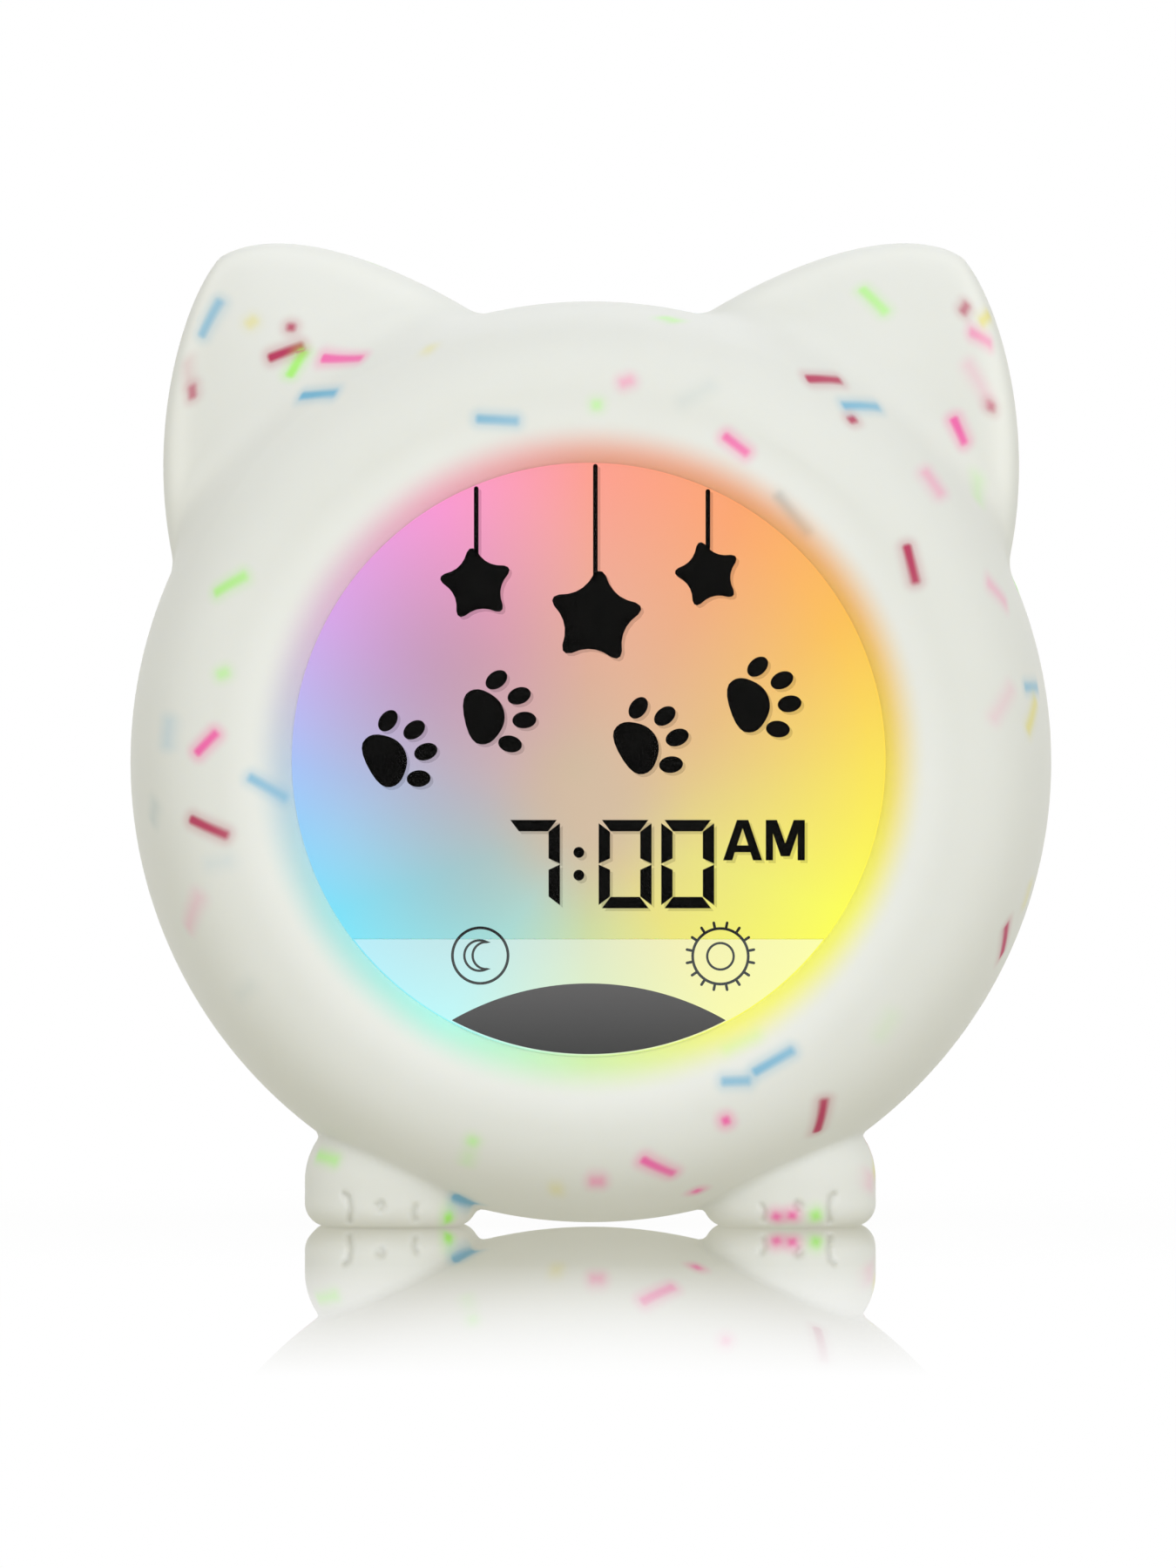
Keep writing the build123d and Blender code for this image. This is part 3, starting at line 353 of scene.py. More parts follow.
def settle(points, rounds, flattest=0.05, furthest=0.6):  # moves points onto the surface
    for _ in range(rounds):
        slope = fieldSlope(points)
        step = sleeveField(points) * slope / np.maximum((slope**2).sum(0), flattest)
        points = points - np.clip(step, -furthest, furthest)
    return points


def gridAxis(low, high, fine):
    places = [low - 1.5 * sleeve["cell"]]
    while places[-1] < high + sleeve["cell"]:
        close = any(start < places[-1] < end for start, end in fine)
        places.append(places[-1] + (sleeve["fineCell"] if close else sleeve["cell"]))
    return np.array(places)


def surfaceNet():  # one point in each grid cell that the surface crosses, joined by quads
    ends = ((-bodyRadius, bodyRadius), (-halfDepth, halfDepth), (-dialHeight, sleeveHigh.z / mm - dialHeight))
    axes = [gridAxis(low, high, fine) for (low, high), fine in zip(ends, sleeve["fine"])]
    field = sleeveField(np.array(np.meshgrid(*axes, indexing="ij"))).astype(np.float32)
    shape = np.array(field.shape) - 1
    corners = {
        offset: field[tuple(slice(o, o + n) for o, n in zip(offset, shape))]
        for offset in itertools.product((0, 1), repeat=3)
    }
    inside = sum((value < 0).astype(np.int8) for value in corners.values())
    active = (inside > 0) & (inside < 8)
    number = np.full(shape, -1, int)
    number[active] = np.arange(active.sum())
    total, count = np.zeros((3, active.sum())), np.zeros(active.sum())
    for offset, axis in itertools.product(corners, range(3)):
        if offset[axis]:
            continue
        other = tuple(o + (i == axis) for i, o in enumerate(offset))
        a, b = corners[offset][active], corners[other][active]
        crossed = (a < 0) != (b < 0)
        share = np.where(crossed, a / np.where(crossed, a - b, 1), 0)
        place = np.array(offset, float)[:, None] + np.eye(3)[:, [axis]] * share
        total += place * crossed
        count += crossed
    steps = np.array(np.nonzero(active)) + total / count
    points = np.array([np.interp(step, np.arange(len(axis)), axis) for step, axis in zip(steps, axes)])
    quads = []
    for axis in range(3):
        near = [slice(1, n) for n in shape]
        near[axis] = slice(0, shape[axis])
        far = list(near)
        far[axis] = slice(1, shape[axis] + 1)
        start, end = field[tuple(near)] < 0, field[tuple(far)] < 0
        crossing = np.array(np.nonzero(start != end))
        outward = start[tuple(crossing)]
        b, c = [(axis + 1) % 3, (axis + 2) % 3]
        crossing[b] += 1
        crossing[c] += 1
        ring = []
        for stepB, stepC in ((-1, -1), (0, -1), (0, 0), (-1, 0)):
            index = crossing.copy()
            index[b] += stepB
            index[c] += stepC
            ring.append(number[tuple(index)])
        ring = np.array(ring).T
        ring[~outward] = ring[~outward][:, ::-1]
        quads.append(ring)
    return points, np.concatenate(quads)


# Sprinkles cast into the silicone. The deeper one lies, the paler and softer it looks.
sprinkle = {
    "length": 6.7,
    "longest": 1.1,  # share of the length that a slanting one on a side may reach
    "halfWidth": 0.79,
    "endRound": 0.62,
    "softness": (0.4, 0.72),  # mm, at the end near the surface and at the end that lies deeper
    "deepBlur": 0.9,  # mm that each step of the softness column adds
    "through": 0.15,  # share of the depth that counts, since a sprinkle is seen through the rubber
    "halo": (2.6, 1.3),  # reach of its glow, and how steeply it falls
    "reach": 8.0,  # a sprinkle's glow ends before this
    "frontSkin": (0.05, 0.02, 50),  # facing that is front, weight of depth, and what keeps the other skin out
    "slant": (0.3, 0.5),  # least facing of the skin that one on the front is laid and widened for
    "tints": {  # colour, and how strongly it glows through the milky rubber around it
        "blue": ("#66B8DC", 0.40),
        "pink": ("#FF5AB2", 0.48),
        "crimson": ("#C0285C", 0.38),
        "lime": ("#A4FF50", 0.38),
        "yellow": ("#EBE05A", 0.34),
        "slate": ("#7FA9B4", 0.22),
    },
    "seed": 11,
    # On the sides and the back: how many, about how far apart, how far round to the front they go as the
    # skin's facing and as a depth, and how far they stay from the table and from the clock's module
    "scatterCount": 185,
    "scatterGap": (9.5, 0.35, 1.1),
    "scatterEdge": (-0.02, -24),
    "scatterFree": 3,
    "whole": (0.72, (0.8, 1.05), (0.15, 0.5)),  # share of whole ones, then lengths of whole and of cut ones
    "sunk": (1.5, 0.1, 1.2, 0.75),  # few lie deep: how few, the least blur, and how depth blurs and weakens
    # On the front: across and up from the dial's middle in mm, lean in degrees, share of the length,
    # softness, strength and tint
    "front": [
        (-57.9, 66.9, 62, 1.0, 0.25, 0.74, "blue"),
        (-46.4, 61.9, 20, 0.9, 0.10, 0.96, "crimson"),
        (-44.4, 59.8, 60, 0.75, 0.20, 0.8, "lime"),
        (-37.5, 60.7, 0, 1.1, 0.10, 0.88, "pink"),
        (-41.1, 55.2, 5, 1.05, 0.25, 0.9, "blue"),
        (-45.6, 65.6, 80, 0.15, 0.35, 0.9, "crimson"),
        (-60.6, 55.6, 95, 0.35, 0.35, 0.85, "crimson"),
        (-61.2, 59.0, 95, 0.6, 1.40, 0.3, "crimson"),
        (-51.0, 66.4, 40, 0.3, 0.60, 0.5, "yellow"),
        (-24.1, 62.1, 0, 0.2, 0.90, 0.4, "yellow"),
        (-13.4, 51.4, -3, 1.0, 0.25, 0.77, "blue"),
        (12.1, 67.0, -20, 0.4, 0.70, 0.5, "lime"),
        (0.9, 53.6, 0, 0.15, 0.60, 0.5, "lime"),
        (5.8, 57.1, 20, 0.35, 0.90, 0.5, "pink"),
        (16.0, 55.2, 30, 0.9, 1.60, 0.12, "slate"),
        (21.9, 47.2, -38, 0.75, 0.25, 0.86, "pink"),
        (43.0, 69.7, -45, 0.85, 0.30, 0.58, "lime"),
        (35.5, 57.4, -4, 0.8, 0.10, 0.92, "crimson"),
        (41.3, 53.3, 0, 0.98, 0.35, 0.8, "blue"),
        (39.8, 51.2, 20, 0.2, 0.20, 0.9, "crimson"),
        (55.8, 49.6, -66, 0.72, 0.15, 0.9, "pink"),
        (51.9, 42.0, -55, 0.75, 0.80, 0.45, "pink"),
        (58.9, 57.5, -60, 1.1, 1.30, 0.25, "pink"),
        (56.9, 68.2, 60, 0.3, 0.50, 0.8, "crimson"),
        (60.2, 67.1, 45, 0.3, 0.60, 0.8, "yellow"),
        (59.6, 64.0, -30, 0.6, 0.70, 0.7, "pink"),
        (60.8, 53.2, 85, 0.25, 0.50, 0.8, "crimson"),
        (58.6, 41.2, 90, 0.6, 1.50, 0.3, "lime"),
        (30.8, 36.9, -52, 1.2, 0.60, 0.5, "slate"),
        (48.8, 29.7, -76, 0.95, 0.12, 0.95, "crimson"),
        (61.7, 25.3, -50, 0.7, 0.90, 0.4, "pink"),
        (67.0, 11.0, 0, 0.6, 0.50, 0.7, "blue"),
        (66.8, 6.7, 75, 0.9, 0.70, 0.7, "yellow"),
        (62.6, 8.7, 60, 0.9, 1.40, 0.2, "pink"),
        (-54.0, 26.4, 30, 0.88, 0.30, 0.65, "lime"),
        (-54.9, 13.1, 20, 0.3, 0.70, 0.5, "lime"),
        (-57.7, 2.9, 46, 0.75, 0.20, 0.9, "pink"),
        (-48.4, -4.0, -30, 1.05, 0.35, 0.78, "blue"),
        (-57.5, -9.9, -24, 1.0, 0.12, 0.93, "crimson"),
        (-63.6, 4.1, 85, 0.7, 1.40, 0.3, "blue"),
        (-59.9, -23.2, 70, 0.9, 1.60, 0.28, "pink"),
        (-56.0, -15.8, 10, 0.6, 1.70, 0.12, "blue"),
        (62.9, -27.6, 85, 1.0, 0.15, 1.0, "crimson"),
        (66.6, -20.5, 75, 0.6, 1.00, 0.4, "yellow"),
        (27.9, -45.6, 30, 1.1, 0.25, 0.82, "blue"),
        (22.2, -48.8, 2, 0.7, 0.30, 0.76, "blue"),
        (20.7, -54.4, 20, 0.15, 0.30, 0.9, "pink"),
        (35.2, -53.8, 77, 1.1, 0.10, 0.95, "crimson"),
        (-17.7, -57.7, 60, 0.15, 0.80, 0.5, "lime"),
        (-18.4, -60.4, 70, 0.3, 1.50, 0.25, "lime"),
        (10.7, -61.6, -25, 0.86, 0.25, 0.88, "pink"),
        (1.6, -63.7, 0, 0.35, 0.90, 0.6, "pink"),
        (16.4, -65.2, -15, 0.15, 0.40, 0.9, "pink"),
        (-5.1, -64.7, 0, 0.25, 1.00, 0.4, "yellow"),
        (23.0, -42.2, 25, 0.9, 1.20, 0.3, "lime"),
        (-40.0, -60.6, -15, 0.5, 0.80, 0.6, "lime"),
        (-21.3, -69.5, 30, 0.2, 0.40, 0.9, "lime"),
        (-19.0, -67.0, -24, 0.55, 0.1, 0.8, "blue"),
        (28.5, -69.4, 60, 0.15, 0.60, 0.9, "pink"),
        (30.8, -69.0, 80, 0.2, 0.50, 0.9, "pink"),
        (34.2, -69.2, 20, 0.2, 0.70, 0.8, "lime"),
        (42.6, -64.2, 85, 0.4, 1.10, 0.25, "pink"),
        (-52.0, -35.0, 40, 0.5, 1.80, 0.10, "slate"),
        (45.0, -40.0, 60, 0.7, 1.80, 0.12, "lime"),
        (-66.0, -8.0, 80, 0.5, 1.20, 0.25, "slate"),
    ],
}


def placeSprinkles(points, normals):  # place, direction, sideways and outward, then form and tint, of each
    chosen = []
    facing, narrowest = sprinkle["slant"]
    limit, weight, hidden = sprinkle["frontSkin"]  # each is laid on the nearest skin that faces the front
    seen = np.where(normals[1] < limit, weight * points[1], hidden)
    for x, z, lean, share, blur, strength, tint in sprinkle["front"]:
        spot = int(np.argmin(np.hypot(points[0] - x, points[2] - z) + seen))
        outward = normals[:, spot]
        heading = np.array([math.cos(math.radians(lean)), 0, math.sin(math.radians(lean))])
        heading[1] = -heading.dot(outward) / min(outward[1], -facing)  # lies in the skin
        share = min(share * np.linalg.norm(heading), max(share, sprinkle["longest"]))
        chosen.append((spot, heading, share, blur, strength, tint))
    rng = np.random.default_rng(sprinkle["seed"])
    tints = list(sprinkle["tints"])
    edge, front = sprinkle["scatterEdge"]
    free = sprinkle["scatterFree"]
    pool = (normals[1] > edge) & (points[1] > front) & (points[2] > free - dialHeight)
    pool = np.nonzero(pool & (moduleField(*points) > free))[0]
    gap, closest, widest = sprinkle["scatterGap"]
    whole, long, short = sprinkle["whole"]
    rare, sharpest, blurred, weakened = sprinkle["sunk"]
    for spot in rng.permutation(pool):
        if len(chosen) == len(sprinkle["front"]) + sprinkle["scatterCount"]:
            break
        others = points[:, [other[0] for other in chosen]]
        nearest = np.linalg.norm(others - points[:, [spot]], axis=0).min()
        if nearest < gap * rng.uniform(closest, widest):
            continue
        sunk = rng.random() ** rare
        share = rng.uniform(*long) if rng.random() < whole else rng.uniform(*short)
        tint = tints[rng.integers(len(tints))]
        blur, strength = sharpest + blurred * sunk, 1 - weakened * sunk
        chosen.append((spot, rng.normal(size=3), share, blur, strength, tint))
    place, axes, form, colour = [], [], [], []
    for number, (spot, heading, share, blur, strength, tint) in enumerate(chosen):
        outward = normals[:, spot]
        heading = heading - outward * heading.dot(outward)
        heading = heading / np.linalg.norm(heading)
        sideways = np.cross(outward, heading)
        if number < len(sprinkle["front"]):  # a rod looks no thinner on a slope
            sideways *= max(np.hypot(sideways[0], sideways[2]), narrowest)
        half = max(share * sprinkle["length"] / 2, sprinkle["halfWidth"])
        place.append(points[:, spot])
        axes.append([heading, sideways, outward])
        form.append((half - sprinkle["endRound"], blur, strength))
        colour.append(linear(*sprinkle["tints"][tint]))
    return [np.array(item) for item in (place, axes, form, colour)]


def nearestTwo(centres, place, axes, form):  # numbers of the two nearest sprinkles of each face
    gaps = np.full((2, centres.shape[1]), np.inf)
    which = np.zeros((2, centres.shape[1]), int)
    for number, (middle, axis, (half, _, _)) in enumerate(zip(place, axes, form)):
        near = np.nonzero(np.abs(centres - middle[:, None]).max(0) < sprinkle["reach"])[0]
        u, v, w = axis @ (centres[:, near] - middle[:, None])
        gap = np.hypot(np.maximum(np.abs(u) - half, 0), np.hypot(v, sprinkle["through"] * w))
        for rank in (0, 1):
            oldGap, old = gaps[rank, near], which[rank, near]
            closer = gap < oldGap
            gaps[rank, near], gap = np.where(closer, gap, oldGap), np.where(closer, oldGap, gap)
            which[rank, near], number = np.where(closer, number, old), np.where(closer, old, number)
    return which


def storeField(mesh, name, values):  # numbers of the vertices, or vectors or colours of the corners
    kinds = {1: ("FLOAT", "value"), 3: ("FLOAT_VECTOR", "vector"), 4: ("FLOAT_COLOR", "color")}
    kind, field = kinds[values.size // len(values)]
    attribute = mesh.attributes.new(name, kind, "POINT" if values.ndim == 1 else "CORNER")
    attribute.data.foreach_set(field, np.ascontiguousarray(values, np.float32).ravel())


points, quads = surfaceNet()
points = settle(points, 3)
points[1] = np.clip(points[1], -halfDepth, halfDepth)
print("stage: sleeve net,", len(quads), "quads")

normals = fieldSlope(points)
normals /= np.linalg.norm(normals, axis=0)
place, axes, form, colour = placeSprinkles(points, normals)
which = nearestTwo(points[:, quads].mean(2), place, axes, form)
print("stage:", len(place), "sprinkles placed")

# Cast silicone: milky and translucent, satin, with a soft edge where light comes through. Painted light: the
# window's colours and a white glow in the lip, and a glow near the ears' edges; painted shade in the toe
# creases.
silicone = {
    "milk": "#EFF0EC",
    "cloud": "#E7E8E2",
    # painted shade: the darker colour laid into the creases between the toes
    "crease": "#9C988A",
    "cloudSize": 34.0,
    "scatter": 2.6,  # mm that light wanders inside
    "scatterShare": 0.55,
    "roughness": 0.46,
    "sheen": 0.22,  # specular level: its skin is nearly matt
    "skinGrain": 0.35,  # mm, the mould's fine etch, drawn coarser than real so that it shows
    "lipDepth": (-0.026, -0.029),  # m along Y, where the window's light begins and where it is full
    "glowReach": 6.7,  # mm, how far the window's colours spread over the lip
    "glowTint": "#FDFCE6",  # the milky rubber holds back some blue
    "glowSides": (0.60, 0.92),  # strength on the blue side and on the yellow side, which carries further
    "lipReach": 12.0,  # mm, how far white light wanders out in the lip
    "lipLight": ("#F0F3FF", 0.24),  # its colour and strength
    "earLight": ("#FFFEF8", 0.135),  # light that passes through the ears near their edge, and its strength
    "earFacing": (0.53, 0.18),  # the skin's facing where that light is strongest, and how soon it fades
    "earTop": 0.65,  # share that is missing on top, where the lamps already light it
    "earStart": (-1, 6),  # mm outside the body's ring, where it begins and where it is full
    "creaseShadeShare": 0.25,
}


def siliconeMaterial():
    material, add, place = newMaterial("castSilicone")
    turned, radius, _ = dialPlace(add, place)
    cloudScale = 1 / (silicone["cloudSize"] * mm)
    colour = mottled(add, place, cloudScale, silicone["cloud"], silicone["milk"], 3)
    halfLength, endRound = sprinkle["length"] / 2, sprinkle["endRound"]
    haloReach, haloFall = sprinkle["halo"]
    for rank in ("0", "1"):
        spot, look, tint = [
            add("Attribute", out=out, attribute_name="sprinkle" + part + rank)
            for part, out in (("Place", "Vector"), ("Form", "Vector"), ("Tint", "Color"))
        ]
        inner, blur, strength = add("SeparateXYZ", [look]).node.outputs
        inner = add("CombineXYZ", [inner, sprinkle["halfWidth"] - endRound, 0.0])
        past = add("VectorMath", [spot], operation="ABSOLUTE")
        flatten = (1, 1, sprinkle["through"])
        for step, value in (("SUBTRACT", inner), ("MAXIMUM", (0, 0, 0)), ("MULTIPLY", flatten)):
            past = add("VectorMath", [past, value], operation=step)
        gap = add("VectorMath", [past], **length)
        along = add("SeparateXYZ", [spot])
        soft = add("MapRange", [along, -halfLength, halfLength, *sprinkle["softness"]])
        soft = add("Math", [blur, sprinkle["deepBlur"], soft], operation="MULTIPLY_ADD")
        near, far = [add("Math", [endRound, soft], operation=step) for step in ("SUBTRACT", "ADD")]
        core = add("MapRange", [gap, near, far, 1.0, 0.0], **eased)
        glow = add("MapRange", [gap, 0.0, haloReach, 1.0, 0.0], **eased)
        glow = add("Math", [glow, haloFall], operation="POWER")
        glow = add("Math", [glow, tint.node.outputs["Alpha"]], **times)
        mask = add("Math", [core, glow], operation="MAXIMUM")
        mask = add("Math", [mask, strength], **times)
        colour = add("Mix", {0: mask, 6: colour, 7: tint}, **rgba)
    # painted shade: the toe creases are darkened by their depth
    creaseShade, thin = [add("Attribute", out="Fac", attribute_name=name) for name in ("toeCreaseShade", "earEdgeGlow")]
    colour = add("Mix", {0: creaseShade, 6: colour, 7: linear(silicone["crease"])}, **rgba)
    # painted light from the window in the lip around it: its colours mixed into the base colour, and white
    # light that wanders further, given as emission
    lit, wander = [
        add("MapRange", [radius, windowRadius, windowRadius + silicone[reach], 1.0, 0.0], **eased)
        for reach in ("glowReach", "lipReach")
    ]
    depth = add("SeparateXYZ", [place], out="Y")
    front = add("MapRange", [depth, *silicone["lipDepth"]])
    across = add("SeparateXYZ", [turned])
    sideGlow = add("MapRange", [across, -windowRadius, windowRadius, *silicone["glowSides"]])
    halfway = add("Math", [1.0, wander], operation="SUBTRACT")
    for share in (front, sideGlow):
        lit = add("Math", [lit, share], **times)
    for share in (wander, front):
        halfway = add("Math", [halfway, share], **times)
    rim = [rimColour(add, turned), linear(silicone["glowTint"])[:3]]
    rim = add("VectorMath", rim, **times)
    colour = add("Mix", {0: lit, 6: colour, 7: rim}, **rgba)
    light = (0, 0, 0)
    # painted light: the lip's wandering white and the ears' edge glow are emitted by the rubber
    for key, share in (("lipLight", halfway), ("earLight", thin)):
        hexColour, strength = silicone[key]
        lamp = [strength * part for part in linear(hexColour)[:3]]
        light = add("VectorMath", [lamp, share, light], operation="MULTIPLY_ADD")
    grainScale = 1 / (silicone["skinGrain"] * mm)
    grain = add("TexNoise", {"Vector": place, "Scale": grainScale, "Detail": 2})
    inputs = {
        "Base Color": colour,
        "Roughness": silicone["roughness"],
        "IOR": 1.41,
        "Subsurface Weight": silicone["scatterShare"],
        "Subsurface Radius": (1.0, 0.95, 0.85),
        "Subsurface Scale": silicone["scatter"] * mm,
        "Specular IOR Level": silicone["sheen"],
        "Emission Color": light,
        "Emission Strength": 1.0,
        "Normal": add("Bump", {"Height": grain, "Strength": 0.04, "Distance": 0.1 * mm}),
    }
    return surfaced(material, inputs)


sleeveMesh = bpy.data.meshes.new("sleeveShell")
sleeveMesh.from_pydata((points.T * mm + (0, 0, dialHeight * mm)).tolist(), [], quads.tolist())
sleeveMesh.polygons.foreach_set("use_smooth", [True] * len(quads))
sleeveMesh.update()
shell = addPiece(sleeveMesh, siliconeMaterial())
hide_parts("silicone_sleeve")
# painted light: a glow laid on the ears near their edges, by how the skin faces, weaker on top
facing, fade = silicone["earFacing"]
start, full = silicone["earStart"]
edge = np.exp(-(((-normals[1] - facing) / fade) ** 2)) * (1 - silicone["earTop"] * np.clip(normals[2], 0, 1))
beyond = np.hypot(points[0], points[2]) - bodyRadius
edge *= np.clip((beyond - start) / (full - start), 0, 1) * (points[2] > 0)
storeField(sleeveMesh, "earEdgeGlow", edge)
# share of painted shade in the toe creases, by their depth
storeField(sleeveMesh, "toeCreaseShade", silicone["creaseShadeShare"] * creaseDepth(*points))
for rank in (0, 1):
    pick = np.repeat(which[rank], 4)
    away = points[:, quads.ravel()].T - place[pick]
    storeField(sleeveMesh, f"sprinklePlace{rank}", np.einsum("nij,nj->ni", axes[pick], away))
    storeField(sleeveMesh, f"sprinkleForm{rank}", form[pick])
    storeField(sleeveMesh, f"sprinkleTint{rank}", colour[pick])
print("stage: sleeve built")

# Liquid crystal art: black segments and motifs, with a painted soft shadow on the light layer: a faint dark
# copy of each, shifted.
display = {
    "ink": (lcdFront - 0.03, 0.02),  # front and thickness
    "shadow": (lcdFront - 0.008, 0.005),
    "shadowShift": (0.42, -0.42),
    "shadowShare": 0.13,  # cover of each face of the shadow's thin plate
    "digitWidth": 8.0,
    "digitHeight": 13.35,
    "stroke": 1.72,
    "segmentGap": 0.13,
    "cornerCut": 0.42,
    "timeTop": -9.1,
    "digitLefts": (-12.35, 1.5, 10.95),  # hours, tens of minutes, minutes
    "colon": (-1.5, (-14.0, -17.45), 0.82),
    "amLeft": (20.3, 26.75),
    "amSize": (5.9, 6.1),
    "stars": ((-17.0, 26.5, 6.4, 8), (1.0, 21.5, 8.2, -6), (18.0, 28.0, 5.8, 14)),
    "starWaist": 0.52,  # share of its size
    "stringWidth": 0.7,
    "stringEnds": (0.7, 0.3),  # share of the star's size above its middle, and mm inside the window's edge
    "trackSize": 11.0,
    "tracks": ((-29.0, 1.0, -62), (-14.0, 7.0, -78), (9.0, 3.0, -60), (26.0, 9.0, -72)),
}


def outlineOf(points, rounds=2):  # closed outline with its corners cut softly
    for _ in range(rounds):
        points = [
            tuple(a[i] + (b[i] - a[i]) * share for i in (0, 1))
            for a, b in zip(points, points[1:] + points[:1])
            for share in (0.25, 0.75)
        ]
    return points, [list(range(len(points)))]


def moved(shape, across=0.0, up=0.0, size=1.0, turn=0.0, flip=False):
    c, s = math.cos(math.radians(turn)) * size, math.sin(math.radians(turn)) * size
    sign = -1 if flip else 1
    points = [(sign * u, v) for u, v in shape[0]]
    return [(across + c * u - s * v, up + s * u + c * v) for u, v in points], shape[1]


def arcPoints(x, z, radius, start, end, steps=40, up=None):
    up = radius if up is None else up
    turns = [math.radians(a) for a in np.linspace(start, end, steps)]
    return [(x + radius * math.cos(a), z + up * math.sin(a)) for a in turns]


def disc(x, z, across, up=None, turn=0.0, sides=36):
    return moved((arcPoints(0, 0, across, 0, 360, sides + 1, up)[:-1], [list(range(sides))]), x, z, turn=turn)


def ribbon(points, width, closed=False):  # a stroke of even width, its open ends round
    path = [Vector(point) for point in points]
    count = len(path)
    verts, faces = [], []
    for i, here in enumerate(path):
        before = path[i - 1] if closed or i else here
        after = path[(i + 1) % count] if closed or i < count - 1 else here
        a, b = (here - before), (after - here)
        a = a.normalized() if a.length else b.normalized()
        b = b.normalized() if b.length else a
        middle = (a + b).normalized()
        side = Vector((-middle.y, middle.x)) * (width / 2 / max(middle.dot(a), 0.5))
        verts += [tuple(here + side), tuple(here - side)]
    for i in range(count if closed else count - 1):
        j = (i + 1) % count
        faces.append([2 * i, 2 * i + 1, 2 * j + 1, 2 * j])
    for end, inner in () if closed else ((0, 1), (count - 1, count - 2)):
        out = (path[end] - path[inner]).normalized() * width / 2
        side = Vector((-out.y, out.x))
        arc = [path[end] + side * math.cos(t) + out * math.sin(t) for t in np.linspace(0, math.pi, 9)[1:-1]]
        first = len(verts)
        verts += [tuple(point) for point in arc]
        near, far = (2 * end, 2 * end + 1) if end else (2 * end + 1, 2 * end)
        faces.append([near, *range(first, first + len(arc)), far])
    return verts, faces


def hoop(x, z, radius, width, sides):
    return ribbon(arcPoints(x, z, radius, 0, 360, sides + 1)[:-1], width, closed=True)


def plate(name, shapes, front, thickness, material, slotName):  # thin closed flat piece
    build = bmesh.new()
    for points2d, faces in shapes:
        made = [build.verts.new((x * mm, front * mm, (z + dialHeight) * mm)) for x, z in points2d]
        for face in faces:
            build.faces.new([made[i] for i in face])
    bmesh.ops.recalc_face_normals(build, faces=build.faces)
    for face in build.faces:
        if face.normal.y > 0:
            face.normal_flip()
    bmesh.ops.solidify(build, geom=build.faces[:], thickness=thickness * mm)
    low = min(vert.co.y for vert in build.verts)
    bmesh.ops.translate(build, verts=build.verts, vec=(0, front * mm - low, 0))
    bmesh.ops.triangulate(build, faces=[face for face in build.faces if len(face.verts) > 4])
    bmesh.ops.recalc_face_normals(build, faces=build.faces)
    mesh = bpy.data.meshes.new(name)
    build.to_mesh(mesh)
    build.free()
    return addPiece(mesh, material)


def digitShapes(left, lit):  # mitred segments of one digit
    w, h, t = display["digitWidth"] / 2, display["digitHeight"] / 2, display["stroke"]
    g, cut = display["segmentGap"] / 2, display["cornerCut"]
    bar = [(-w + cut + g, h), (w - cut - g, h), (w - t - g, h - t), (-w + t + g, h - t)]
    post = [(-w, h - cut - g), (-w + t, h - t - g), (-w + t, t / 2), (-w, g)]
    parts = {
        "a": (bar, 0, False),
        "b": (post, 0, True),
        "c": (post, 180, False),
        "d": (bar, 180, False),
        "e": (post, 180, True),
        "f": (post, 0, False),
    }
    shapes = []
    for outline, turn, flip in [parts[key] for key in lit]:
        segment = moved((outline, [[0, 1, 2, 3]]), turn=turn, flip=flip)
        shapes.append(moved(segment, left + w, display["timeTop"] - h))
    return shapes


def letterShapes(left, half):  # a letter from its left half and the mirror of it
    wide, tall = display["amSize"]
    half = [((x - 0.5) * wide, z * tall) for x, z in half]
    face = [list(range(len(half)))]
    place = {"across": left + wide / 2, "up": display["timeTop"] - tall}
    return [moved((half, face), **place), moved((half, face), flip=True, **place)]


def starShape(x, z, size, turn):
    points = []
    for i, radius in enumerate([size, display["starWaist"] * size] * 5):
        a = math.pi * i / 5
        points.append((radius * math.sin(a), radius * math.cos(a)))
    return moved(outlineOf(points), x, z, turn=turn)


def trackShapes(x, z, turn):  # one paw print: a pad and four toes
    pad = [(-0.30, -0.44), (0.30, -0.44), (0.42, -0.20), (0.22, 0.06)]
    pad += [(0.0, 0.13), (-0.22, 0.06), (-0.42, -0.20)]
    shapes = [outlineOf(pad)]
    for across, up, lean in ((-0.45, 0.10, 24), (-0.17, 0.36, 8), (0.17, 0.36, -8), (0.45, 0.10, -24)):
        shapes.append(disc(across, up, 0.115, 0.165, lean, 24))
    return [moved(shape, x, z, display["trackSize"], turn) for shape in shapes]


def inkMaterial(name, hexColour, cover):  # liquid crystal ink: dense, matt, a touch cloudy
    material, add, place = newMaterial(name)
    colour = mottled(add, place, 400.0, hexColour, "#060606")
    inputs = {"Base Color": colour, "Roughness": 0.6, "Specular IOR Level": 0.0, "Alpha": cover}
    return surfaced(material, inputs)


